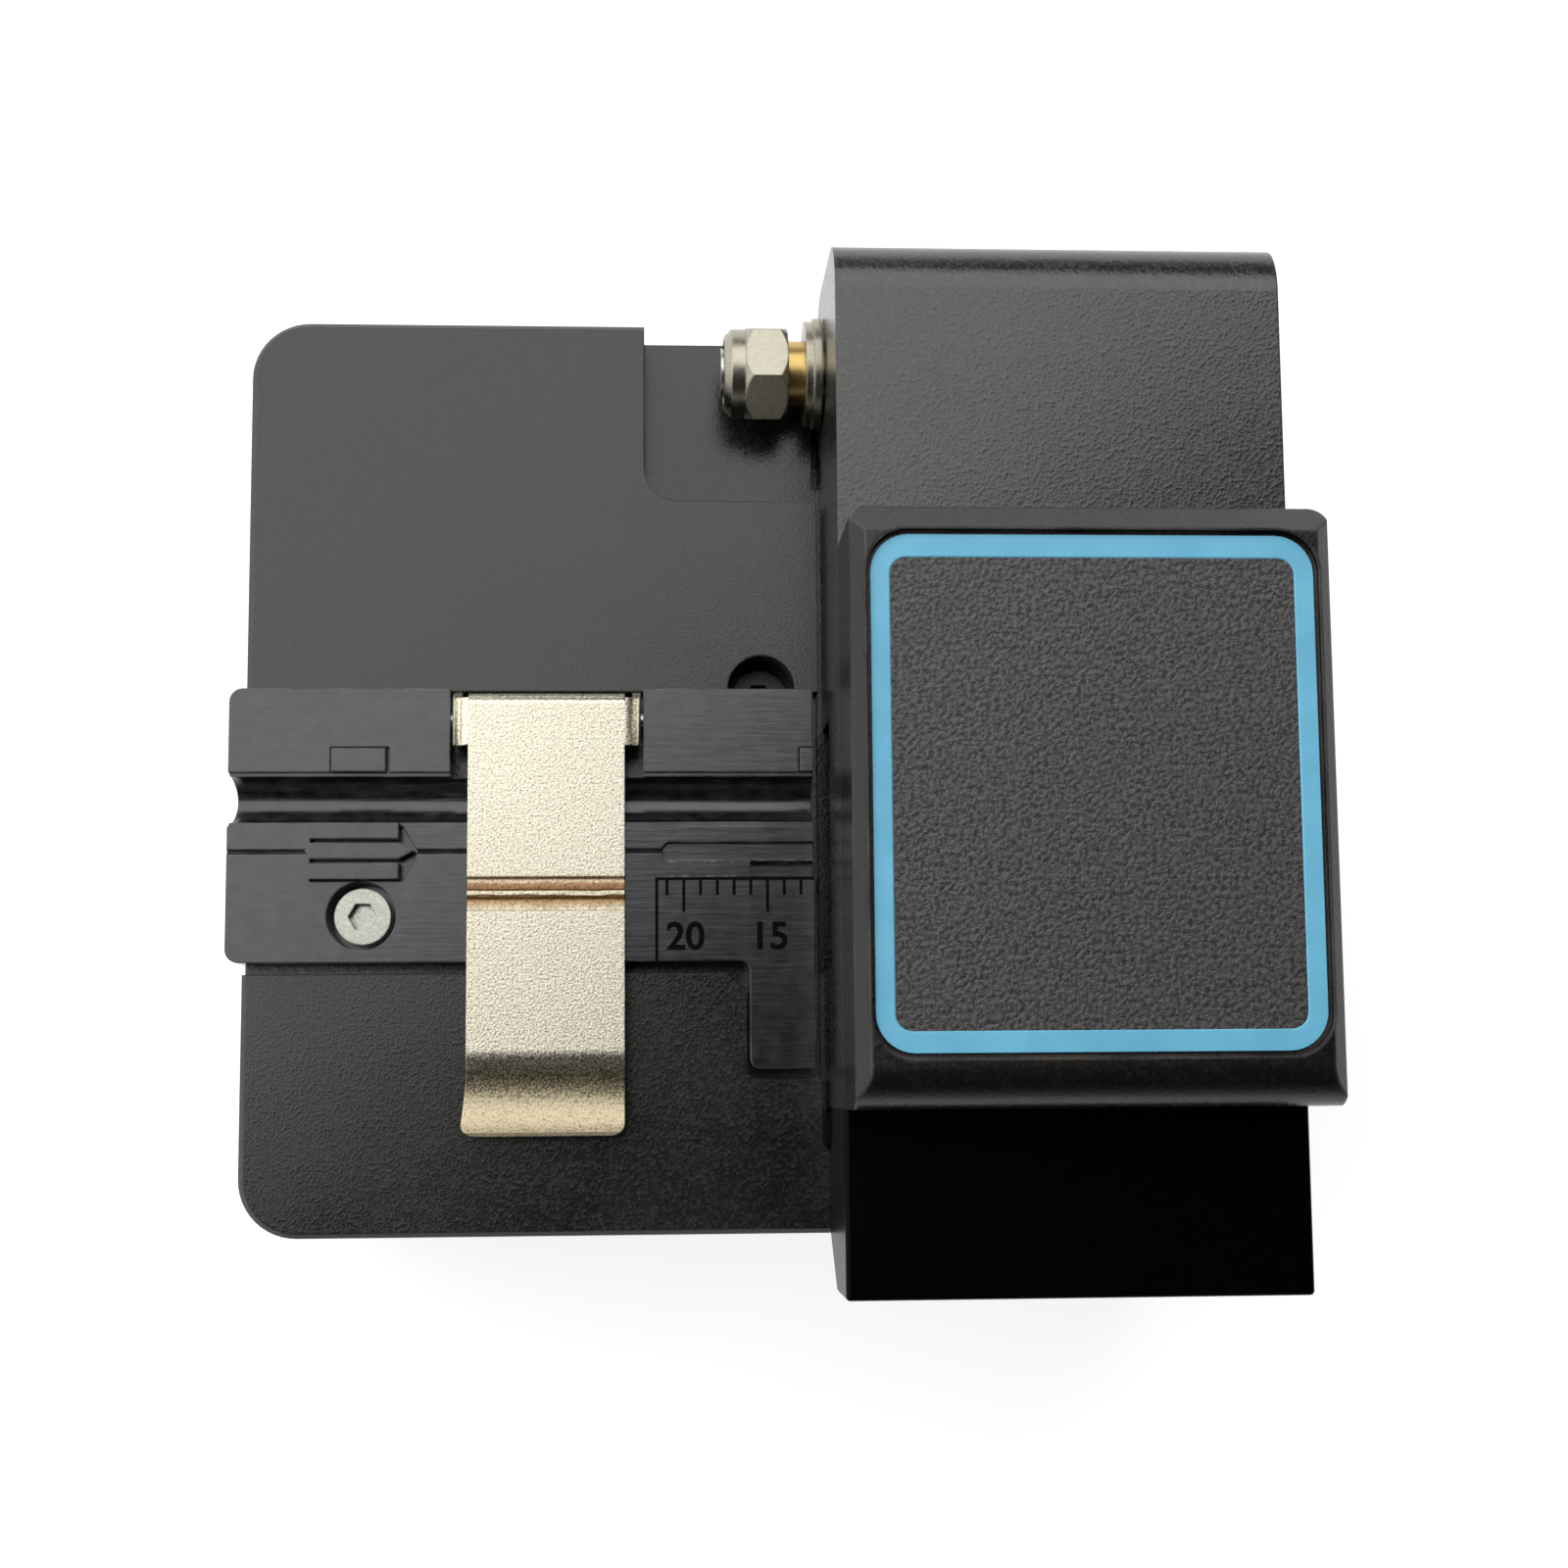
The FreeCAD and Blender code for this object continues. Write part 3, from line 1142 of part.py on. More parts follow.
def bush(name, left, length):
    """Plain brass tube round the hinge bolt."""
    outer = rod(name + "_outer", "X", left, "hinge_line", "platform_top", "bush_radius", length)
    inner = rod(name + "_inner", "X", left, "hinge_line", "platform_top", "hinge_bolt_radius", length)
    return cut(name, outer, inner)


# ---------------------------------------------------------------- blade slider

def make_slider():
    """Miniature rail, its bearing block, and the carriage that takes the blade wheel under the fibre."""
    rail = new_body("slide_rail")
    half = "rail_width / 2"
    waist = "base_bottom + rail_height / 2"
    left, right = "rail_line - " + half, "rail_line + " + half
    profile = outline(rail, "rail_profile", "XZ", [
        (left, "base_bottom"),
        (right, "base_bottom"),
        (right, waist + " - rail_groove"),
        (right + " - rail_groove", waist),
        (right, waist + " + rail_groove"),
        (right, "base_bottom + rail_height"),
        (left, "base_bottom + rail_height"),
        (left, waist + " + rail_groove"),
        (left + " + rail_groove", waist),
        (left, waist + " - rail_groove")], "-(base_front + rail_front)")
    pad(profile, "rail_length", back=True)
    holes = circles(rail, "rail_screw_holes", "XY", rail_screw_places(), "small_screw_radius + hole_fit",
                    "base_bottom + rail_height")
    pocket(holes, "rail_height")
    sinks = circles(rail, "rail_screw_sinks", "XY", rail_screw_places(), "small_head_radius - hole_fit / 2",
                    "base_bottom + rail_height")
    pocket(sinks, "small_head_height")
    node(rail, "slide_rail")
    screws = []
    for index, (x, y) in enumerate(rail_screw_places()):
        name = f"rail_screw_{index}"
        seat = "base_bottom + rail_height - small_head_height"
        head = rod(name + "_head", "Z", x, y, seat, "small_head_radius - hole_fit", "small_head_height - hole_fit")
        shank = rod(name + "_shank", "Z", x, y, "base_bottom - rail_screw_bite", "small_screw_radius",
                    "rail_height - small_head_height + rail_screw_bite")
        socket = hexagon(name + "_socket", "Z", x, y, seat + " + small_head_height / 2", "hex_socket",
                         "small_head_height / 2")
        screws.append(cut(name, fuse(name + "_blank", head, shank), socket))
    node(group("rail_screws", *screws), "rail_screws")

    block = new_body("bearing_block")
    outer_left, outer_right = "rail_line - block_width / 2", "rail_line + block_width / 2"
    inner_left, inner_right = "rail_line - " + half + " - running_fit", "rail_line + " + half + " + running_fit"
    block_bottom = "base_bottom + block_clearance"
    block_profile = outline(block, "block_profile", "XZ", [
        (outer_left, block_bottom),
        (inner_left, block_bottom),
        (inner_left, "base_bottom + rail_height + running_fit"),
        (inner_right, "base_bottom + rail_height + running_fit"),
        (inner_right, block_bottom),
        (outer_right, block_bottom),
        (outer_right, "block_top"),
        (outer_left, "block_top")], "-(blade_rest - block_length / 2)")
    pad(block_profile, "block_length", back=True)
    node(block, "bearing_block")

    make_carriage()
    make_blade_wheel()
    make_grip()


def make_carriage():
    """Block on the bearing: it carries the wheel's shaft, the push arm and the height screw."""
    carriage = new_body("carriage")
    side = "blade_plane + blade_thickness / 2 + blade_side_gap"
    carriage_top = "channel_top - channel_gap"
    main = outline(carriage, "carriage_profile", "YZ", [
        ("blade_rest - carriage_length / 2", "block_top"),
        ("blade_rest + carriage_length / 2", "block_top"),
        ("blade_rest + carriage_length / 2", "blade_level"),
        ("blade_rest + shaft_head_radius", carriage_top),
        ("blade_rest - shaft_head_radius", carriage_top),
        ("blade_rest - carriage_length / 2", "block_top + carriage_nose")], side)
    pad(main, "carriage_width")
    arm = rectangle(carriage, "push_arm", "XZ", "push_arm_line - push_arm_width / 2",
                    "push_arm_line + push_arm_width / 2", "block_top", "block_top + push_arm_height",
                    "-(base_front - grip_gap)")
    pad(arm, "blade_rest - base_front + grip_gap", back=True)
    shaft = circles(carriage, "shaft_bore", "YZ", [("blade_rest", "blade_level")], "shaft_radius", side + " - 1")
    pocket(shaft, "carriage_width + 2", along_normal=True)
    grip_bores = circles(carriage, "grip_screw_bores", "XZ", grip_screw_places(), "small_screw_radius",
                         "-(base_front - grip_gap)")
    pocket(grip_bores, "screw_bite")
    rear = "blade_rest + carriage_length / 2"
    height_place = (side + " + carriage_width / 2", "block_top + height_screw_level")
    height_bore = circles(carriage, "height_screw_bore", "XZ", [height_place], "small_screw_radius",
                          "-(" + rear + ")")
    pocket(height_bore, "height_screw_length", along_normal=True)
    node(carriage, "carriage")
    thread = rod("height_screw_thread", "Y", height_place[0], rear + " - height_screw_length", height_place[1],
                 "small_screw_radius", "height_screw_length")
    socket = hexagon("height_screw_socket", "Y", height_place[0], rear + " - small_head_height / 2",
                     height_place[1], "small_screw_radius", "small_head_height / 2")
    node(cut("blade_height_screw", thread, socket), "blade_height_screw")


def make_blade_wheel():
    """Bevelled wheel on its shaft; the lock screw holds it against the carriage."""
    wheel = new_body("blade_wheel")
    edge, face = "blade_edge_flat / 2", "blade_thickness / 2"
    rim = "blade_level + blade_radius"
    wheel_profile = outline(wheel, "wheel_profile", "XZ", [
        ("blade_plane - " + face, "blade_level + shaft_radius + running_fit"),
        ("blade_plane + " + face, "blade_level + shaft_radius + running_fit"),
        ("blade_plane + " + face, rim + " - blade_bevel"),
        ("blade_plane + " + edge, rim),
        ("blade_plane - " + edge, rim),
        ("blade_plane - " + face, rim + " - blade_bevel")], "-blade_rest")
    spin = wheel.newObject("PartDesign::Revolution", "wheel_turned")
    spin.Profile = wheel_profile
    axis = new_sketch(wheel, "wheel_axis", "XZ", "-blade_rest")
    ends = [Vector(number(x), number("blade_level"), 0) for x in ("arm_left", "arm_right")]
    axis.addGeometry(Part.LineSegment(*ends))
    for end, x in ((1, "arm_left"), (2, "arm_right")):
        hold(axis, HORIZONTAL, (-1, 1, 0, end), x)
        hold(axis, VERTICAL, (-1, 1, 0, end), "blade_level")
    spin.ReferenceAxis = (axis, ["Edge1"])
    spin.Angle = 360
    wheel.Tip = spin
    node(wheel, "blade_wheel")

    place = ("blade_rest", "blade_level")
    shaft_left = "blade_plane - blade_thickness / 2 - blade_side_gap"
    node(rod("blade_shaft", "X", shaft_left, *place, "shaft_radius",
             "carriage_width + blade_thickness + 2 * blade_side_gap"), "blade_shaft")
    lock_head = rod("lock_head", "X", shaft_left + " - shaft_head_height", *place, "shaft_head_radius",
                    "shaft_head_height")
    lock_socket = hexagon("lock_socket", "X", shaft_left + " - shaft_head_height", *place, "hex_socket",
                          "shaft_head_height / 2")
    node(cut("blade_lock_screw", lock_head, lock_socket), "blade_lock_screw")


def make_grip():
    """Ribbed finger plate on the end of the push arm, below the nose."""
    grip = new_body("slider_grip")
    grip_back = "base_front - grip_gap"
    grip_left, grip_right = "grip_line - grip_width / 2", "grip_line + grip_width / 2"
    face = rectangle(grip, "grip_face", "XZ", grip_left, grip_right, "grip_bottom", "grip_top",
                     "-(" + grip_back + ")")
    pad(face, "grip_thickness")
    rib_sketch = rectangle(grip, "grip_groove", "XZ", grip_left + " - 1", grip_right + " + 1",
                           "grip_bottom + grip_margin", "grip_bottom + grip_margin + grip_rib_pitch / 2",
                           "-(" + grip_back + " - grip_thickness)")
    first_groove = pocket(rib_sketch, "grip_rib")
    pattern = grip.newObject("PartDesign::LinearPattern", "grip_grooves")
    pattern.Originals = [first_groove]
    pattern.Direction = (rib_sketch, ["V_Axis"])
    pattern.Mode = "Spacing"
    pattern.setExpression("Occurrences", sized("grip_ribs"))
    pattern.setExpression("Offset", sized("grip_rib_pitch"))
    grip.Tip = pattern
    front = "-(" + grip_back + " - grip_thickness)"
    holes = circles(grip, "grip_screw_holes", "XZ", grip_screw_places(), "small_screw_radius + hole_fit", front)
    pocket(holes, "grip_thickness")
    sinks = circles(grip, "grip_screw_sinks", "XZ", grip_screw_places(), "small_head_radius", front)
    pocket(sinks, "small_head_height")
    node(grip, "slider_grip")
    screws = []
    for index, (x, z) in enumerate(grip_screw_places()):
        name = f"grip_screw_{index}"
        face_y = grip_back + " - grip_thickness"
        head = rod(name + "_head", "Y", x, face_y, z, "small_head_radius - hole_fit", "small_head_height")
        shank = rod(name + "_shank", "Y", x, face_y, z, "small_screw_radius", "grip_thickness + screw_bite")
        socket = hexagon(name + "_socket", "Y", x, face_y, z, "hex_socket", "small_head_height / 2")
        screws.append(cut(name, fuse(name + "_blank", head, shank), socket))
    node(group("grip_screws", *screws), "grip_screws")


def grip_screw_places():
    """Two screws hold the grip on the push arm."""
    return [(f"push_arm_line {sign} grip_screw_step", "block_top + push_arm_height / 2") for sign in "-+"]


def rail_screw_places():
    """Three screws hold the rail down."""
    first = "base_front + rail_front + rail_length / 2"
    return [("rail_line", f"{first} + ({step}) * rail_screw_pitch") for step in (-1, 0, 1)]


# ---------------------------------------------------------------- clamps and anvil

def make_clamps():
    """Lower pads on the base, upper pads on a sprung carrier in the lever, and the sprung anvil."""
    half_length = "clamp_pad_length / 2"
    sides = {"left": "blade_plane - clamp_side_step", "right": "blade_plane + clamp_side_step"}
    for side, centre in sides.items():
        holder = box(f"lower_clamp_{side}", centre + " - clamp_pad_width / 2", "fibre_line - " + half_length,
                     "platform_top", "clamp_pad_width", "clamp_pad_length", "clamp_rise - clamp_pad_height")
        node(holder, f"lower_clamp_{side}")
    for row, level in (("lower", "clamp_top - clamp_pad_height"), ("upper", "upper_pad_bottom")):
        pads = [box(f"{row}_pad_{side}", centre + " - clamp_pad_width / 2 + clamp_pad_inset",
                    "fibre_line - " + half_length + " + clamp_pad_inset", level,
                    "clamp_pad_width - 2 * clamp_pad_inset", "clamp_pad_length - 2 * clamp_pad_inset",
                    "clamp_pad_height") for side, centre in sides.items()]
        node(group(f"{row}_pads", *pads), f"{row}_pads")

    carrier = new_body("upper_clamp_carrier")
    plate = rectangle(carrier, "carrier_plate", "XY", "blade_plane - carrier_half_width",
                      "blade_plane + carrier_half_width", "fibre_line - " + half_length,
                      "fibre_line + " + half_length, "carrier_bottom")
    pad(plate, "clamp_plate")
    ears = rectangle(carrier, "carrier_ears", "XY", "blade_plane - carrier_ear_width / 2",
                     "blade_plane + carrier_ear_width / 2", "fibre_line - carrier_ear_reach",
                     "fibre_line + carrier_ear_reach", "carrier_bottom")
    pad(ears, "clamp_plate")
    holes = circles(carrier, "pin_holes", "XY", clamp_pin_places(), "clamp_pin_radius + running_fit",
                    "carrier_bottom")
    pocket(holes, "clamp_plate", along_normal=True)
    window = circles(carrier, "anvil_window", "XY", [("blade_plane", "fibre_line")],
                     "guide_tube_radius + side_gap", "carrier_bottom")
    pocket(window, "clamp_plate", along_normal=True)
    node(carrier, "upper_clamp_carrier")

    pins, springs = [], []
    for index, (x, y) in enumerate(clamp_pin_places()):
        name = f"guide_pin_{index}"
        head_bottom = "carrier_bottom - clamp_pin_head"
        head = rod(name + "_head", "Z", x, y, head_bottom, "clamp_pin_head_radius", "clamp_pin_head")
        shank = rod(name + "_shank", "Z", x, y, head_bottom, "clamp_pin_radius",
                    "ceiling + pin_bite - carrier_bottom + clamp_pin_head")
        pins.append(fuse(name, head, shank))
        springs.append(coil_spring(f"clamp_spring_{index}", x, y, "carrier_top", "clamp_pin_radius + spring_clearance",
                                   "ceiling - carrier_top"))
    node(group("clamp_guide_pins", *pins), "clamp_guide_pins")
    node(group("clamp_springs", *springs), "clamp_springs")

    tube_bottom, tube_length = "ceiling - guide_tube_drop", "guide_tube_drop + pin_bite"
    place = ("blade_plane", "fibre_line")
    tube = rod("anvil_tube", "Z", *place, tube_bottom, "guide_tube_radius", tube_length)
    tube_bore = rod("anvil_tube_bore", "Z", *place, tube_bottom, "anvil_radius + running_fit", tube_length)
    node(cut("anvil_guide", tube, tube_bore), "anvil_guide")
    node(rod("anvil", "Z", *place, "anvil_bottom", "anvil_radius", "ceiling - anvil_bottom"), "anvil")
    node(coil_spring("anvil_spring", *place, "ceiling", "anvil_radius - spring_wire - spring_clearance",
                     "pin_bite"), "anvil_spring")


def coil_spring(name, x, y, z, inner_radius, length):
    """Compression spring between two seats: round wire, drawn as an octagon, swept along a helix."""
    start, coil_radius = f"({z}) + spring_wire / 2 + spring_seat_gap", f"({inner_radius}) + spring_wire / 2"
    rise = f"(({length}) - spring_wire - 2 * spring_seat_gap)"
    helix = doc.addObject("Part::Helix", name + "_helix")
    helix.SegmentLength = 1
    bind(helix, x=x, y=y, z=start, Radius=coil_radius, Height=rise, Pitch=rise + " / spring_turns")
    wire = doc.addObject("Part::RegularPolygon", name + "_wire")
    wire.Polygon = 8
    wire.Placement = Placement(Vector(), Rotation(Vector(1, 0, 0), 90))
    bind(wire, x=f"({x}) + {coil_radius}", y=y, z=start, Circumradius="spring_wire / 2")
    sweep = doc.addObject("Part::Sweep", name)
    sweep.Sections = [wire]
    sweep.Spine = (helix, [])
    sweep.Solid = True
    sweep.Frenet = True
    return sweep



make_base_block()
make_base_plate()
make_guide_plate()
make_clip()
make_lever()
make_press_pad()
make_hinge()
make_slider()
make_clamps()
doc.recompute()


# ---------------------------------------------------------------- checks and export

def check_and_export():
    """Stop on anything failed, empty or invalid, then write each sub-part."""
    for item in doc.Objects:
        if "Invalid" in item.State or "Error" in item.State:
            raise RuntimeError(f"{item.Name} failed: {item.State}")
        if item.TypeId == "Sketcher::SketchObject" and not item.FullyConstrained:
            print("not fully held:", item.Name)
    for feature in CUTS:
        if feature.Shape.Volume > feature.BaseFeature.Shape.Volume - 1e-6:
            raise RuntimeError(f"{feature.Name} cuts nothing")
    os.makedirs("parts", exist_ok=True)
    whole = FreeCAD.BoundBox()
    for item in NODES:
        shape = item.Shape
        if shape.isNull() or not shape.isValid():
            raise RuntimeError(f"{item.Label} has no valid shape")
        shape.exportStep(f"parts/{item.Label}.step")
        whole.add(shape.BoundBox)
        print(f"{item.Label}: {len(shape.Solids)} solid(s), {shape.Volume:.2f} mm3")
    print("overall", whole)


check_and_export()
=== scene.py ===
# %% [markdown]
# # A fibre cleaver, dressed in Blender
# The machined parts come packed from CAD with their joints. This lesson gives each one the surface that
# its material and making would leave, and adds what CAD left plain: the label, the printed scale, the
# rounded sheet clip, the turned nut and the springs. Everything is in metres, in the imported frame.

# %% Load the imported model
import json
import math

import bmesh
import bpy
from mathutils import Matrix, Vector

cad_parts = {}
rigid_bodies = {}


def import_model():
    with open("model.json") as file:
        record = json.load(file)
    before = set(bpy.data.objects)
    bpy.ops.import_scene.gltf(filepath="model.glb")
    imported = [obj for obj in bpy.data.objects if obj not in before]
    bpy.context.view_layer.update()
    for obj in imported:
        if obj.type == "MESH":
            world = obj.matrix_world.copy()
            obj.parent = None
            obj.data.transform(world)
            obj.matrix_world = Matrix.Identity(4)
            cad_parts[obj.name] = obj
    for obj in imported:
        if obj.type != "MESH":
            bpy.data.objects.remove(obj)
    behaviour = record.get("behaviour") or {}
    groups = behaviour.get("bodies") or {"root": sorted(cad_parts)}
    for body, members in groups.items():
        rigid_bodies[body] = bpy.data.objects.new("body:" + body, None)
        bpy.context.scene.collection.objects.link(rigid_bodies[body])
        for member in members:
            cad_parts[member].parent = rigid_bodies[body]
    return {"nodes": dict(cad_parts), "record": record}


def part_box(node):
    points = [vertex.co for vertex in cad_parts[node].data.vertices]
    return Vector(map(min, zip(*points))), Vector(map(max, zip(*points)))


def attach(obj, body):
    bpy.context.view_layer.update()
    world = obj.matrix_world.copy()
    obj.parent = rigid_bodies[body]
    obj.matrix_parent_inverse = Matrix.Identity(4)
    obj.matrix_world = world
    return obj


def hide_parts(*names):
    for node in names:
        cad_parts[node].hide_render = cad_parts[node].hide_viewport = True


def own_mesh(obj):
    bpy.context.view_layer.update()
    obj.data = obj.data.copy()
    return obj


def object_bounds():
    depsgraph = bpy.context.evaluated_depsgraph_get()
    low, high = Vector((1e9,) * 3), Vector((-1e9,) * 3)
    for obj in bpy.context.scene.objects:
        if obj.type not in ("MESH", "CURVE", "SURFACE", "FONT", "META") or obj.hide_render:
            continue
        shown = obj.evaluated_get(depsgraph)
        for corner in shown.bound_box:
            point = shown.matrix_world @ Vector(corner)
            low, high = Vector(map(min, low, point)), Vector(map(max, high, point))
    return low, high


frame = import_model()
cad_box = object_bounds()
nodes = frame["nodes"]
MM = 0.001

# %% [markdown]
# ## Places that the rest is measured from
# A piece that is added later has to sit where the CAD says, so its place is read from the boxes of the
# nodes around it. The blade's plane is the zero of the scale, and the guide plate carries it, on a face
# that lies a little lower than the tops of the comb's ribs. The other sizes are in millimetres.

# %% Read the main places
guide_low, guide_high = (Vector(corner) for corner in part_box("guide_plate"))
label_low, label_high = (Vector(corner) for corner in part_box("label_plate"))
blade_low, blade_high = (Vector(corner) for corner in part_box("blade_wheel"))
clip_low, clip_high = (Vector(corner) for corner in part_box("fibre_clip"))
pin_low, pin_high = (Vector(corner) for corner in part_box("clip_pin"))
RIB_RISE = 0.6 * MM
FIBRE_FROM_FRONT = 12.96 * MM
SCALE_FROM_FIBRE = 1.75 * MM
SCALE_REACH = 21.7 * MM
LINE = 0.18 * MM
blade_plane = (blade_low.x + blade_high.x) / 2
plate_top = guide_high.z - RIB_RISE
fibre_line = guide_low.y + FIBRE_FROM_FRONT
scale_top = fibre_line - SCALE_FROM_FIBRE
scale_left = blade_plane - SCALE_REACH
print("blade plane", round(blade_plane, 5), "fibre line", round(fibre_line, 5))

# %% [markdown]
# ## Colour and node helpers
# Colours are written as on a paint chart, in sRGB, and Blender's nodes want them linear, so one function
# turns them. One more adds a node with its settings and links, which keeps each material short, and a third
# starts a material with an empty tree. A Mix node also carries sockets for plain numbers and for vectors, so
# the ones for colours are known by number, and the numbers get names here.

# %% Colour and node helpers
FACTOR, FIRST, SECOND = 0, 6, 7
MIXED = 2


def linear(code):
    """An sRGB hex colour as the linear four numbers of a node socket."""
    channels = [int(code[i:i + 2], 16) / 255 for i in (1, 3, 5)]
    return [c / 12.92 if c <= 0.04045 else ((c + 0.055) / 1.055) ** 2.4 for c in channels] + [1.0]


def add(tree, kind, settings=None, links=None):
    """A new node; a setting is a property or, where no property has that name, a socket's value."""
    new = tree.nodes.new(kind)
    for key, value in (settings or {}).items():
        if isinstance(key, str) and hasattr(new, key):
            setattr(new, key, value)
        else:
            new.inputs[key].default_value = value
    for key, socket in (links or {}).items():
        tree.links.new(socket, new.inputs[key])
    return new


def empty_material(name):
    """A new material and its node tree, with no nodes in it."""
    material = bpy.data.materials.new(name)
    material.use_nodes = True
    material.node_tree.nodes.clear()
    return material, material.node_tree


# %% [markdown]
# ## A recipe for a worked surface
# Nearly all of these finishes share a build: a base colour with faint broad blotches from dye or handling,
# a fine grain left by blasting or moulding, and edges that catch the light because no real edge is sharp.
# The grain could come from an image, but a texture whose scale is one over the grain's real size has no
# seams: a noise for soft grain, or the small bowls of a Voronoi texture where shot has dented the metal. The
# edges come from a Bevel node, and the edge tint compares the bevelled normal with the true one.

# %% Surface recipe
def spread(tree, socket, low, high, to_low=0.0, to_high=1.0):
    """Stretch a range of values over another, as for the middle of a noise, where nearly all of it lies."""
    return add(tree, "ShaderNodeMapRange", {"From Min": low, "From Max": high, "To Min": to_low,
                                            "To Max": to_high}, {0: socket}).outputs[0]


def surface(name, colour, roughness, metallic=0.0, grain=0.15, depth=0.01, blotch=6.0, blotch_colour=None,
            rough_spread=0.04, cloud=0.0, edge=0.12, edge_colour=None, ior=1.5, dents=False, speckle=None):
    """A Principled material; grain, depth, blotch and edge are real sizes in millimetres."""
    material, tree = empty_material(name)
    place = add(tree, "ShaderNodeTexCoord").outputs["Object"]
    broad = add(tree, "ShaderNodeTexNoise", {"Scale": 1 / (blotch * MM), "Detail": 4.0}, {"Vector": place})
    if dents:
        cell = add(tree, "ShaderNodeTexVoronoi", {"Scale": 1 / (grain * MM)}, {"Vector": place})
        bowl = add(tree, "ShaderNodeMath", {"operation": "POWER", 1: 2.0}, {0: cell.outputs["Distance"]})
        height, random = bowl.outputs[0], cell.outputs["Color"]
    else:
        fine = add(tree, "ShaderNodeTexNoise", {"Scale": 1 / (grain * MM), "Detail": 2.0}, {"Vector": place})
        height = fine.outputs["Fac"]
        random = spread(tree, height, 0.3, 0.7)
    speck = spread(tree, random, 0.0, 1.0, roughness - rough_spread, roughness + rough_spread)
    patch = spread(tree, broad.outputs["Fac"], 0.38, 0.62)
    tint = add(tree, "ShaderNodeMix", {"data_type": "RGBA", FIRST: linear(colour),
                                       SECOND: linear(blotch_colour or colour)}, {FACTOR: patch})
    if speckle:
        tint = add(tree, "ShaderNodeMix", {"data_type": "RGBA", SECOND: linear(speckle)},
                   {FACTOR: spread(tree, random, 0.55, 1.0), FIRST: tint.outputs[MIXED]})
    soft = add(tree, "ShaderNodeBevel", {"samples": 4, "Radius": edge * MM})
    if edge_colour:
        true = add(tree, "ShaderNodeNewGeometry").outputs["Normal"]
        dot = add(tree, "ShaderNodeVectorMath", {"operation": "DOT_PRODUCT"}, {0: soft.outputs[0], 1: true})
        worn = spread(tree, dot.outputs["Value"], 0.995, 0.85)
        rub = add(tree, "ShaderNodeMath", {"operation": "MULTIPLY"}, {0: worn, 1: patch})
        tint = add(tree, "ShaderNodeMix", {"data_type": "RGBA", SECOND: linear(edge_colour)},
                   {FACTOR: rub.outputs[0], FIRST: tint.outputs[MIXED]})
    haze = spread(tree, broad.outputs["Fac"], 0.35, 0.65, -cloud, cloud)
    rough = add(tree, "ShaderNodeMath", {"operation": "ADD"}, {0: speck, 1: haze})
    bump = add(tree, "ShaderNodeBump", {"Strength": 1.0, "Distance": depth * MM},
               {"Height": height, "Normal": soft.outputs[0]})
    shader = add(tree, "ShaderNodeBsdfPrincipled", {"Metallic": metallic},
                 {"Base Color": tint.outputs[MIXED], "Roughness": rough.outputs[0],
                  "Normal": bump.outputs[0]})
    if metallic < 0.5:
        shader.inputs["IOR"].default_value = ior
    add(tree, "ShaderNodeOutputMaterial", None, {"Surface": shader.outputs[0]})
    return material


# %% [markdown]
# ## Finishes of the CAD parts
# The body is aluminium, bead blasted and dyed black by anodising: the oxide layer is clear and hard over
# the dye, so it behaves like a very dark plastic whose grey comes from the sheen of a thousand tiny dents.
# The plate for the fibre is moulded from a nearly black plastic with smoother, handled faces. Screws and nut
# are bright nickel, the bushes brass. The press pad is textured ABS, and the lever's nose a smooth deep
# black. Blasted grain is really finer than 0.1 mm; it is drawn about 0.2 mm wide, so that it shows.

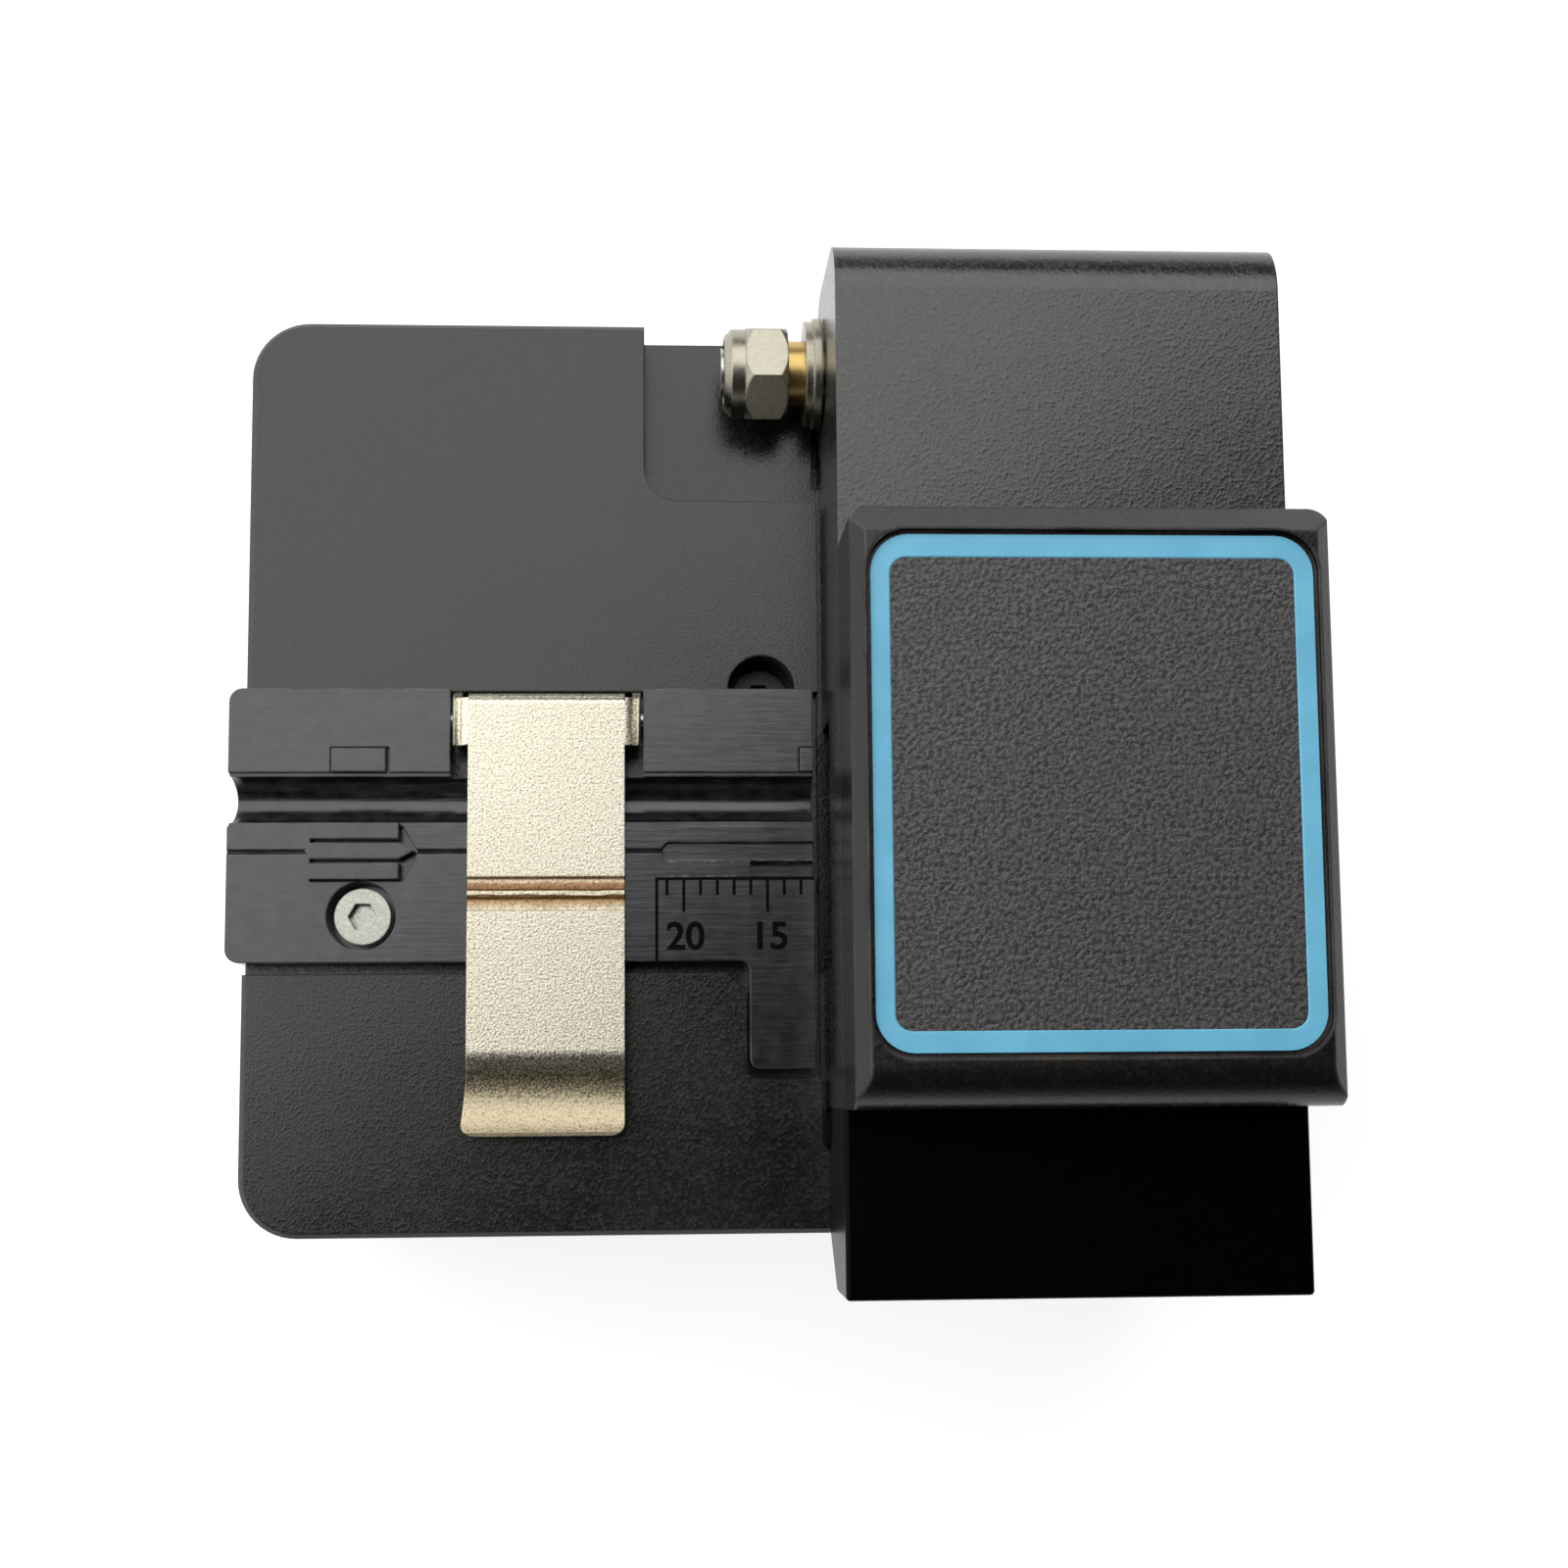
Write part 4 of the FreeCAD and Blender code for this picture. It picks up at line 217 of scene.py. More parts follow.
# %% Finishes
MATERIALS = {
    "anodised": surface("black_anodised_blasted_aluminium", "#0f0f0f", 0.23, grain=0.18, depth=0.005,
                        rough_spread=0.05, blotch=7.0, blotch_colour="#171613", cloud=0.02, edge=0.15,
                        edge_colour="#4a4a48", ior=1.54, dents=True, speckle="#282725"),
    "anodised_arm": surface("black_anodised_coarse_blast_aluminium", "#161615", 0.24, grain=0.2, depth=0.008,
                            rough_spread=0.06, blotch=6.0, blotch_colour="#1e1e1b", edge=0.2,
                            edge_colour="#50504d", ior=1.66, dents=True, speckle="#3f3e3a"),
    "steel": surface("turned_steel", "#b9bab8", 0.28, metallic=1.0, grain=0.08, depth=0.003, edge=0.08),
    "nickel": surface("bright_nickel_plating", "#a09c8d", 0.3, metallic=1.0, grain=0.3, depth=0.004,
                      rough_spread=0.05, edge=0.15),
    "stainless": surface("passivated_stainless_steel", "#a3a299", 0.26, metallic=1.0, grain=0.25, depth=0.003,
                         rough_spread=0.06, edge=0.1),
    "black_oxide": surface("blackened_steel", "#070707", 0.4, grain=0.12, depth=0.006, edge=0.08),
    "rubber": surface("moulded_rubber", "#151515", 0.75, depth=0.01),
    "clamp_rubber": surface("nitrile_rubber", "#1b1b1c", 0.6, grain=0.2, depth=0.006),
    "gloss_black": surface("polished_black_acrylic", "#020203", 0.3, grain=1.0, depth=0.0, rough_spread=0.02,
                           edge=0.15, edge_colour="#1a1a1e", ior=1.15),
    "pad_plastic": surface("textured_black_abs", "#100e0d", 0.28, grain=0.22, depth=0.007,
                           rough_spread=0.05, blotch=5.0, blotch_colour="#141110", edge=0.3,
                           edge_colour="#5a544c", ior=1.46, dents=True, speckle="#1c1a18"),
    "label_face": surface("printed_foil", "#434142", 0.45, grain=0.35, depth=0.03),
    "nylon": surface("natural_nylon", "#cfcdbf", 0.5, grain=0.3, depth=0.004),
    "brass": surface("turned_brass", "#c4a768", 0.32, metallic=1.0, grain=0.1, depth=0.003),
    "rail_steel": surface("ground_rail_steel", "#a9abad", 0.3, metallic=1.0, grain=0.1, depth=0.003),
    "carriage_alloy": surface("clear_anodised_aluminium", "#b8b9ba", 0.4, metallic=1.0, grain=0.12,
                              depth=0.004),
    "blade_carbide": surface("ground_tungsten_carbide", "#8f9296", 0.22, metallic=1.0, grain=0.1,
                             depth=0.002),
    "spring_steel": surface("music_wire", "#9a9b9c", 0.3, metallic=1.0, grain=0.1, depth=0.002),
}
print("finishes", len(MATERIALS))

# %% [markdown]
# ## The guide plate's plastic
# The plate is moulded in a bluish black plastic and wiped each day with a tissue. Wiping runs along the
# fibre, so the fine marks are long in X: a Mapping node squeezes one axis of a noise, which stretches it.
# Their lighter haze grows towards the back of the plate, and that rise is painted sheen from the lamp behind.
# Along two moulded edges beside the scale, short broken dashes of painted highlight stand for the
# light that those edges catch.

# %% Guide plate finish
WIPE_STRETCH = 0.07
# Two lines beside the scale where short dashes of painted highlight lie.
GLINT_LINES = (scale_top + 1.2 * LINE, fibre_line - 0.62 * MM)


def wiped_plastic():
    """Bluish black acetal with wipe marks along X, smudges, painted sheen that grows towards the back, and
    dashes of painted highlight along two edges.
    """
    material, tree = empty_material("wiped_blue_black_acetal")
    place = add(tree, "ShaderNodeTexCoord").outputs["Object"]
    long = add(tree, "ShaderNodeMapping", {"Scale": (WIPE_STRETCH, 1, 1)}, {"Vector": place})
    wipe = add(tree, "ShaderNodeTexNoise", {"Scale": 1 / (0.22 * MM), "Detail": 3.0},
               {"Vector": long.outputs[0]})
    smudge = add(tree, "ShaderNodeTexNoise", {"Scale": 1 / (2.6 * MM), "Detail": 3.0}, {"Vector": place})
    patch = spread(tree, smudge.outputs["Fac"], 0.42, 0.62)
    streak = spread(tree, wipe.outputs["Fac"], 0.45, 0.7)
    axes = add(tree, "ShaderNodeSeparateXYZ", None, {0: place})
    # Towards the back the wipe haze grows: that rise is painted sheen from the lamp behind, laid over real
    # wipe marks.
    sheen_towards_back = spread(tree, axes.outputs["Y"], fibre_line, fibre_line + 5 * MM, 0.1, 1.0)
    wiped = add(tree, "ShaderNodeMath", {"operation": "MULTIPLY"}, {0: sheen_towards_back, 1: streak})
    haze = add(tree, "ShaderNodeMath", {"operation": "MULTIPLY"}, {0: patch, 1: wiped.outputs[0]})
    stained = add(tree, "ShaderNodeTexNoise", {"Scale": 1 / (0.9 * MM), "Detail": 4.0}, {"Vector": place})
    base = add(tree, "ShaderNodeMix", {"data_type": "RGBA", FIRST: linear("#07090c"),
                                       SECOND: linear("#25272a")},
               {FACTOR: spread(tree, stained.outputs["Fac"], 0.36, 0.66)})
    # The haze's lighter grey: wipe marks, and painted sheen towards the back.
    tint = add(tree, "ShaderNodeMix", {"data_type": "RGBA", SECOND: linear("#3e4346")},
               {FACTOR: haze.outputs[0], FIRST: base.outputs[MIXED]})
    right = spread(tree, axes.outputs["X"], scale_left - LINE, scale_left)
    dash = spread(tree, stained.outputs["Fac"], 0.48, 0.56)
    # A mask of painted highlight dashes along each line, right of the scale's left end.
    painted_glint = None
    for line in GLINT_LINES:
        away = add(tree, "ShaderNodeMath", {"operation": "SUBTRACT", 1: line}, {0: axes.outputs["Y"]})
        side = add(tree, "ShaderNodeMath", {"operation": "ABSOLUTE"}, {0: away.outputs[0]})
        near = spread(tree, side.outputs[0], 0.08 * MM, 0.03 * MM)
        bright = add(tree, "ShaderNodeMath", {"operation": "MULTIPLY"}, {0: near, 1: dash})
        painted_glint = bright if painted_glint is None else add(tree, "ShaderNodeMath", {"operation": "MAXIMUM"},
                                                 {0: painted_glint.outputs[0], 1: bright.outputs[0]})
    painted_glint = add(tree, "ShaderNodeMath", {"operation": "MULTIPLY"}, {0: painted_glint.outputs[0], 1: right})
    # The dashes are painted highlight, a lighter grey on the plastic.
    with_painted_glints = add(tree, "ShaderNodeMix", {"data_type": "RGBA", SECOND: linear("#5f6364")},
                 {FACTOR: painted_glint.outputs[0], FIRST: tint.outputs[MIXED]})
    soft = add(tree, "ShaderNodeBevel", {"samples": 4, "Radius": 0.12 * MM})
    true = add(tree, "ShaderNodeNewGeometry").outputs["Normal"]
    dot = add(tree, "ShaderNodeVectorMath", {"operation": "DOT_PRODUCT"}, {0: soft.outputs[0], 1: true})
    worn = spread(tree, dot.outputs["Value"], 0.99, 0.85)
    rub = add(tree, "ShaderNodeMath", {"operation": "MULTIPLY"}, {0: worn, 1: patch})
    colour = add(tree, "ShaderNodeMix", {"data_type": "RGBA", SECOND: linear("#6c6f73")},
                 {FACTOR: rub.outputs[0], FIRST: with_painted_glints.outputs[MIXED]})
    rough = spread(tree, haze.outputs[0], 0.0, 1.0, 0.2, 0.36)
    bump = add(tree, "ShaderNodeBump", {"Strength": 1.0, "Distance": 0.006 * MM},
               {"Height": wipe.outputs["Fac"], "Normal": soft.outputs[0]})
    shader = add(tree, "ShaderNodeBsdfPrincipled", {"IOR": 1.64},
                 {"Base Color": colour.outputs[MIXED], "Roughness": rough, "Normal": bump.outputs[0]})
    add(tree, "ShaderNodeOutputMaterial", None, {"Surface": shader.outputs[0]})
    return material


MATERIALS["guide_plastic"] = wiped_plastic()
# The places of the painted highlight lines.
print("painted glint lines at", [round(line, 5) for line in GLINT_LINES])

# %% [markdown]
# ## The plated clip
# The clip is thin spring steel, tumbled and then plated with a pale gold that lets the tumbled speckle show.
# In the two pressed channels across it the colour is painted brown as shade and dark reflection, with a
# painted highlight on the ridge between them, and at the lip it is painted a little darker as shade. The
# painted shade could be drawn on an image, but it follows the channels exactly, so a colour ramp is laid
# across them, from the distance to the line between the two.

# %% Clip finish
# Where the painted shade lies: the line between the channels, its half width, and the stretch at the lip.
CHANNEL_LINE_FROM_PIN = 10.6 * MM
CHANNEL_SHADE_HALF = 1.25 * MM
LIP_SHADE_STARTS = 4.7 * MM
LIP_SHADE_FULL = 3.6 * MM
# Colour stops across the channels: the browns are painted shade and dark reflection, the cream between them a
# painted highlight.
CHANNEL_SHADE_BANDS = ((0.0, "#ffffff"), (0.14, "#f3e6da"), (0.21, "#ecd9c8"), (0.24, "#c4a286"), (0.40, "#8c6c52"),
               (0.43, "#fffaf0"), (0.50, "#fffaf0"), (0.53, "#5a4636"), (0.60, "#b39470"), (0.72, "#dac3a2"),
               (0.88, "#ffffff"))


def clip_material():
    """Pale plating with a tumbled speckle, painted brown shade along the two pressed channels with a painted
    highlight between them, and painted shade at the lip.
    """
    material, tree = empty_material("pale_gold_plated_spring_steel")
    place = add(tree, "ShaderNodeTexCoord").outputs["Object"]
    fine = add(tree, "ShaderNodeTexNoise", {"Scale": 1 / (0.14 * MM), "Detail": 2.0}, {"Vector": place})
    broad = add(tree, "ShaderNodeTexNoise", {"Scale": 1 / (1.6 * MM), "Detail": 2.0}, {"Vector": place})
    plating = add(tree, "ShaderNodeMix", {"data_type": "RGBA", FIRST: linear("#9c9482"),
                                          SECOND: linear("#f0e9d5")},
                  {FACTOR: spread(tree, fine.outputs["Fac"], 0.25, 0.62)})
    # The line between the two channels, where the painted shade is centred.
    channel_line = (pin_low.y + pin_high.y) / 2 - CHANNEL_LINE_FROM_PIN
    along = add(tree, "ShaderNodeSeparateXYZ", None, {0: place}).outputs["Y"]
    wander = spread(tree, broad.outputs["Fac"], 0.3, 0.7, -0.06 * MM, 0.06 * MM)
    uneven = add(tree, "ShaderNodeMath", {"operation": "ADD"}, {0: along, 1: wander})
    across = spread(tree, uneven.outputs[0], channel_line + CHANNEL_SHADE_HALF, channel_line - CHANNEL_SHADE_HALF)
    channel_shade = add(tree, "ShaderNodeValToRGB", None, {0: across})
    ramp = channel_shade.color_ramp.elements
    while len(ramp) < len(CHANNEL_SHADE_BANDS):
        ramp.new(0.5)
    for stop, (where, code) in zip(ramp, CHANNEL_SHADE_BANDS):
        stop.position = where
        stop.color = linear(code)
    colour = add(tree, "ShaderNodeMix", {"data_type": "RGBA", "blend_type": "MULTIPLY", FACTOR: 1.0},
                 {FIRST: plating.outputs[MIXED], SECOND: channel_shade.outputs[0]})
    # The dip and the lip are painted a little darker, as shade.
    lip = spread(tree, along, clip_low.y + LIP_SHADE_STARTS, clip_low.y + LIP_SHADE_FULL)
    lip_shaded = add(tree, "ShaderNodeMix", {"data_type": "RGBA", "blend_type": "MULTIPLY",
                                          SECOND: linear("#c9c2b2")},
                  {FACTOR: lip, FIRST: colour.outputs[MIXED]})
    rough = spread(tree, fine.outputs["Fac"], 0.35, 0.65, 0.32, 0.46)
    soft = add(tree, "ShaderNodeBevel", {"samples": 4, "Radius": 0.1 * MM})
    bump = add(tree, "ShaderNodeBump", {"Strength": 1.0, "Distance": 0.02 * MM},
               {"Height": fine.outputs["Fac"], "Normal": soft.outputs[0]})
    shader = add(tree, "ShaderNodeBsdfPrincipled", {"Metallic": 1.0},
                 {"Base Color": lip_shaded.outputs[MIXED], "Roughness": rough, "Normal": bump.outputs[0]})
    add(tree, "ShaderNodeOutputMaterial", None, {"Surface": shader.outputs[0]})
    return material


MATERIALS["clip_plating"] = clip_material()
# The count of colour stops in the painted channel shade.
print("stain stops", len(CHANNEL_SHADE_BANDS), "finishes", len(MATERIALS))

# %% [markdown]
# ## Each part gets its finish
# The record says which material each CAD part is made of. Two small parts differ a little to the eye: the
# washers beside the hinge are plated like the nut, and the guide plate's screw is stainless.

# %% Dress the CAD parts
SLOT_OF = {part["node"]: part["material_slot"] for part in frame["record"]["subparts"]}
SLOT_OF["hinge_washers"] = "nickel"
SLOT_OF["guide_plate_screw"] = "stainless"
for node_name, slot in SLOT_OF.items():
    mesh = nodes[node_name].data
    mesh.materials.clear()
    mesh.materials.append(MATERIALS[slot])
print("dressed", len(SLOT_OF))

# %% [markdown]
# ## Tools for modelling by hand
# Operators act on what is selected, so a small helper leaves only one object selected and active, and
# another picks mesh parts by a test on their place. A last one takes a piece over: it fixes the piece's
# place in its mesh, gives it a name and a finish, and hands it to the body that it moves with.

# %% Modelling helpers
KINDS = {"verts": "VERT", "edges": "EDGE", "faces": "FACE"}


def only(piece):
    """Select and activate one object alone."""
    bpy.ops.object.select_all(action="DESELECT")
    piece.select_set(True)
    bpy.context.view_layer.objects.active = piece


def pick(piece, kind, test):
    """In edit mode, select the vertices, edges or faces that pass a test; returns how many."""
    bpy.ops.mesh.select_mode(type=KINDS[kind])
    bpy.ops.mesh.select_all(action="DESELECT")
    shape = bmesh.from_edit_mesh(piece.data)
    count = 0
    for element in getattr(shape, kind):
        if test(element):
            element.select_set(True)
            count += 1
    bmesh.update_edit_mesh(piece.data)
    return count


def finish_piece(piece, name, body, slot, material, *replaced):
    """Fix its place in its mesh, name it, give it its finish and put it on its body."""
    only(piece)
    bpy.ops.object.transform_apply(location=True, rotation=True, scale=True)
    piece.name = name
    piece.data.name = name
    piece.data.materials.clear()
    piece.data.materials.append(material)
    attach(piece, body)
    if replaced:
        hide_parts(*replaced)
    print(name, len(piece.data.polygons), "faces")


def slab(low, high):
    """A block between two corners, from the cube primitive."""
    bpy.ops.object.select_all(action="DESELECT")
    bpy.ops.mesh.primitive_cube_add(size=1, location=(Vector(low) + Vector(high)) / 2,
                                    scale=Vector(high) - Vector(low))
    bpy.ops.object.transform_apply(location=True, rotation=False, scale=True)
    return bpy.context.object


# %% [markdown]
# ## Working on a copy of a CAD part
# Three parts need a touch that is easier on a mesh than in CAD: the clip, the hinge nut and the springs. The
# CAD mesh itself stays as it is. A copy of it is merged, because it comes as loose triangles, and its stored
# normals are dropped, so that it is shaded by its own new shape. The copy then takes the part's place.

# %% Working copies
MERGE = 0.001 * MM


def working_copy(node_name, flat_faces=True):
    """A copy of a CAD node with its triangles joined, and the flat ones merged into whole faces."""
    piece = bpy.data.objects.new(node_name + "_copy", nodes[node_name].data.copy())
    bpy.context.scene.collection.objects.link(piece)
    only(piece)
    bpy.ops.object.mode_set(mode="EDIT")
    bpy.ops.mesh.select_all(action="SELECT")
    bpy.ops.mesh.remove_doubles(threshold=MERGE)
    if flat_faces:
        bpy.ops.mesh.dissolve_limited(angle_limit=math.radians(0.2))
    bpy.ops.object.mode_set(mode="OBJECT")
    bpy.ops.mesh.customdata_custom_splitnormals_clear()
    return piece


def round_edges(piece, radius, sharper_than):
    """Bevel every edge that turns by more than an angle, and keep the flat faces flat to the eye."""
    only(piece)
    bpy.ops.object.mode_set(mode="EDIT")
    pick(piece, "edges", lambda e: len(e.link_faces) == 2 and e.calc_face_angle(0) > sharper_than)
    bpy.ops.mesh.bevel(offset=radius, segments=3, affect="EDGES", clamp_overlap=True)
    bpy.ops.object.mode_set(mode="OBJECT")
    bpy.ops.object.shade_smooth_by_angle(angle=math.radians(32))
    bpy.ops.object.modifier_add(type="WEIGHTED_NORMAL")
    bpy.ops.object.modifier_apply(modifier=piece.modifiers[0].name)


# %% [markdown]
# ## The clip's bends and edges
# The clip is stamped, bent and tumbled, so all its edges are round, its ears reach back past the pin with
# their rims bent down, and its finger lip is bent tight. Each bend is a group of points that is picked by
# place and moved, and a bevel rounds the edges. Two cuts along the sheet keep the ears' bend off its middle.

# %% Clip sheet
EAR_REACH = 0.45 * MM
EAR_INSIDE = 4.7 * MM
EAR_DROP = 0.35 * MM
RIM_FROM_CUT = 0.5 * MM
RIM_DEPTH = 0.1 * MM
CLIP_HALF = 4.65 * MM
BENT_PART = 7.4 * MM
TIGHTER = 0.8
TUMBLED_RADIUS = 0.13 * MM
clip_sheet = working_copy("fibre_clip")
clip_centre = (clip_low.x + clip_high.x) / 2
bpy.ops.object.mode_set(mode="EDIT")
ears = pick(clip_sheet, "faces", lambda f: f.normal.y > 0.9 and f.calc_center_median().y > pin_high.y
            and abs(f.calc_center_median().x - clip_centre) > EAR_INSIDE)
bpy.ops.transform.translate(value=(0, EAR_REACH, 0))
for side in (-1, 1):
    bpy.ops.mesh.select_all(action="SELECT")
    bpy.ops.mesh.bisect(plane_co=(clip_centre + side * CLIP_HALF, 0, 0), plane_no=(1, 0, 0), threshold=1e-7)
rims = pick(clip_sheet, "verts", lambda v: abs(v.co.x - clip_centre) > CLIP_HALF + RIM_FROM_CUT
            and v.co.z > clip_high.z - RIM_DEPTH)
bpy.ops.transform.translate(value=(0, 0, -EAR_DROP))
bent = pick(clip_sheet, "verts", lambda v: v.co.y < clip_low.y + BENT_PART)
bpy.ops.transform.resize(value=(1, TIGHTER, TIGHTER), center_override=(0, clip_low.y, clip_high.z))
bpy.ops.object.mode_set(mode="OBJECT")
print("ear faces drawn back", ears, "ear rim points bent down", rims, "lip points drawn in", bent)
round_edges(clip_sheet, TUMBLED_RADIUS, math.radians(40))
finish_piece(clip_sheet, "clip_sheet", "clip", "clip_plating", MATERIALS["clip_plating"], "fibre_clip")

# %% [markdown]
# ## The hinge nut, as it was tightened
# A nut stops where its thread bites, and here that is with a corner a little off the top. Its corners are
# cut in CAD already, so the copy is only turned about the bolt, and shaded smooth up to a small angle.

# %% Lock nut
NUT_TURN = math.radians(-18)
lock_nut = working_copy("hinge_nut", flat_faces=False)
nut_low, nut_high = (Vector(corner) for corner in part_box("hinge_nut"))
bpy.ops.object.mode_set(mode="EDIT")
bpy.ops.mesh.select_all(action="SELECT")
bpy.ops.transform.rotate(value=NUT_TURN, orient_axis="X", center_override=(nut_low + nut_high) / 2)
bpy.ops.object.mode_set(mode="OBJECT")
finish_piece(lock_nut, "lock_nut", "base", "nickel", MATERIALS["nickel"], "hinge_nut")
bpy.ops.object.shade_smooth_by_angle(angle=math.radians(25))

# %% [markdown]
# ## Springs
# Under the lever, small coil springs press the clamp and the anvil down. A coil that only rode on the lever
# would cut through the clamp when it rises; here each one is copied, finished in spring steel and put on
# the body of its joint's parent, and keeps its shape.

# %% Springs
COIL_SMOOTH = math.radians(40)
for joint in frame["record"]["behaviour"]["joints"]:
    for spring in joint.get("deforming_nodes", []):
        coils = working_copy(spring["node"], flat_faces=False)
        finish_piece(coils, spring["node"] + "_coils", joint["parent"], "spring_steel",
                     MATERIALS["spring_steel"], spring["node"])
        bpy.ops.object.shade_smooth_by_angle(angle=COIL_SMOOTH)
        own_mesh(coils)

# %% [markdown]
# ## The label
# On the real tool a thin foil plate lies in the recess on top of the press pad. A sky blue border runs
# round a dark panel with a pressed leather grain. The plate could be one face with a painted border, but
# the panel is really a hair lower than the border, so an inset and a small push down give both for free.
# The border isn't quite even: the panel is a touch wider than a plain inset would leave it, and nearer
# the front.

# %% Label materials
border_paint = surface("sky_blue_screen_print", "#76c8ea", 0.42, grain=0.3, depth=0.004, blotch=3.0,
                       blotch_colour="#6ebfe1", edge=0.05)


def leather_material():
    """Dark foil pressed with a fine pebbled leather grain, about a quarter of a millimetre a pebble."""
    material, tree = empty_material("pressed_leather_foil")
    place = add(tree, "ShaderNodeTexCoord").outputs["Object"]
    cloud = add(tree, "ShaderNodeTexNoise", {"Scale": 1 / (1.6 * MM), "Detail": 2.0}, {"Vector": place})
    pebble = add(tree, "ShaderNodeTexNoise", {"Scale": 1 / (0.26 * MM), "Detail": 2.0, "Distortion": 0.3},
                 {"Vector": place})
    height = spread(tree, pebble.outputs["Fac"], 0.34, 0.66)
    tint = add(tree, "ShaderNodeMix", {"data_type": "RGBA", FIRST: linear("#2a2828"),
                                       SECOND: linear("#585553")}, {FACTOR: height})
    rough = spread(tree, cloud.outputs["Fac"], 0.35, 0.65, 0.3, 0.42)
    bump = add(tree, "ShaderNodeBump", {"Strength": 1.0, "Distance": 0.025 * MM}, {"Height": height})
    shader = add(tree, "ShaderNodeBsdfPrincipled", {"IOR": 1.5},
                 {"Base Color": tint.outputs[MIXED], "Roughness": rough, "Normal": bump.outputs[0]})
    add(tree, "ShaderNodeOutputMaterial", None, {"Surface": shader.outputs[0]})
    return material


leather = leather_material()

# %% Label plate
CORNER = 2.1 * MM
BORDER = 1.15 * MM
WIDER = 1.014
FORWARD = 0.05 * MM
PANEL_DROP = 0.06 * MM
label = slab(label_low, label_high)
bpy.ops.object.mode_set(mode="EDIT")
pick(label, "edges", lambda e: abs((e.verts[0].co - e.verts[1].co).normalized().z) > 0.9)
bpy.ops.mesh.bevel(offset=CORNER, segments=10, affect="EDGES")
pick(label, "faces", lambda f: f.normal.z > 0.9)
bpy.ops.mesh.inset(thickness=BORDER, depth=0)
bpy.ops.transform.resize(value=(WIDER, 1, 1), center_override=(label_low + label_high) / 2)
bpy.ops.transform.translate(value=(0, -FORWARD, 0))
bpy.ops.mesh.inset(thickness=PANEL_DROP, depth=-PANEL_DROP)
bpy.ops.object.mode_set(mode="OBJECT")
finish_piece(label, "label_foil", "lever", "label_face", border_paint, "label_plate")
label.data.materials.append(leather)
panel = max((f for f in label.data.polygons if f.normal.z > 0.9), key=lambda f: f.area)
panel.material_index = 1
print("leather panel", round(panel.area / MM ** 2, 1), "square millimetres")

# %% [markdown]
# ## The printed scale
# The guide plate tells how much bare fibre stands out from its coating, in millimetres from the blade. The
# marks are thin ink, so each is a very flat block, and the numbers are text turned into a mesh. Every fifth
# mark is long. A line above the marks and one at their left frame the scale.

# %% Scale marks
FAR_MARK, NEAR_MARK = 21, 12
LONG_MARK = 1.9 * MM
SHORT_MARK = 0.9 * MM
FRAME_FOOT = 6.4 * MM
ink = surface("black_pad_print", "#040405", 0.8, grain=0.2, depth=0.002, edge=0.02, ior=1.2)
INK = 0.03 * MM
marks = [slab((scale_left, scale_top, plate_top - INK), (guide_high.x, scale_top + LINE, plate_top + INK)),
         slab((scale_left, guide_low.y + FRAME_FOOT, plate_top - INK),
              (scale_left + LINE, scale_top, plate_top + INK))]
for distance in range(FAR_MARK, NEAR_MARK - 1, -1):
    reach = LONG_MARK if distance % 5 == 0 else SHORT_MARK
    x = blade_plane - distance * MM
    marks.append(slab((x - LINE / 2, scale_top - reach, plate_top - INK),
                      (x + LINE / 2, scale_top, plate_top + INK)))
bpy.ops.object.select_all(action="DESELECT")
for mark in marks:
    mark.select_set(True)
bpy.context.view_layer.objects.active = marks[0]
bpy.ops.object.join()
finish_piece(marks[0], "scale_marks", "base", "guide_plastic", ink)

# %% Scale numbers
NUMBER_SIZE = 2.3 * MM
NUMBER_BOLD = 0.05 * MM
NUMBER_SHIFT = 0.1 * MM
NUMBER_FOOT = 7.1 * MM
for distance in (20, 15):
    bpy.ops.object.select_all(action="DESELECT")
    bpy.ops.object.text_add(location=(0, 0, 0))
    number = bpy.context.object
    number.data.body = str(distance)
    number.data.size = NUMBER_SIZE
    number.data.align_x = "CENTER"
    number.data.extrude = INK
    number.data.offset = NUMBER_BOLD
    bpy.ops.object.convert(target="MESH")
    number = bpy.context.object
    number.location = (blade_plane - distance * MM + NUMBER_SHIFT, guide_low.y + NUMBER_FOOT, plate_top)
    finish_piece(number, f"scale_number_{distance}", "base", "guide_plastic", ink)

# %% [markdown]
# ## Floor
# The tool stands on pale paper. The paper itself is a light grey, so that it doesn't throw too much light up
# at the tool, and a glow that only the camera, mirrors and glass see lifts it to white. The shadow stays.

# %% Floor
bpy.ops.object.select_all(action="DESELECT")
bpy.ops.mesh.primitive_plane_add(size=3.0, location=(0, 0, 0))
floor = bpy.context.object
floor.name = "studio_floor"
paper, tree = empty_material("white_backdrop_paper")
path = add(tree, "ShaderNodeLightPath")
direct = add(tree, "ShaderNodeMath", {"operation": "ADD"},
             {0: path.outputs["Is Camera Ray"], 1: path.outputs["Is Glossy Ray"]})
looked_at = add(tree, "ShaderNodeMath", {"operation": "ADD", "use_clamp": True},
                {0: direct.outputs[0], 1: path.outputs["Is Transmission Ray"]})
matt = add(tree, "ShaderNodeBsdfDiffuse", {"Color": linear("#c4c4c4")})
glow = add(tree, "ShaderNodeEmission", {"Color": linear("#ffffff"), "Strength": 0.8})
bright = add(tree, "ShaderNodeAddShader", None, {0: matt.outputs[0], 1: glow.outputs[0]})
seen = add(tree, "ShaderNodeMixShader", None, {0: looked_at.outputs[0], 1: matt.outputs[0],
                                               2: bright.outputs[0]})
add(tree, "ShaderNodeOutputMaterial", None, {"Surface": seen.outputs[0]})
floor.data.materials.append(paper)
print("floor", [round(length, 2) for length in floor.dimensions])

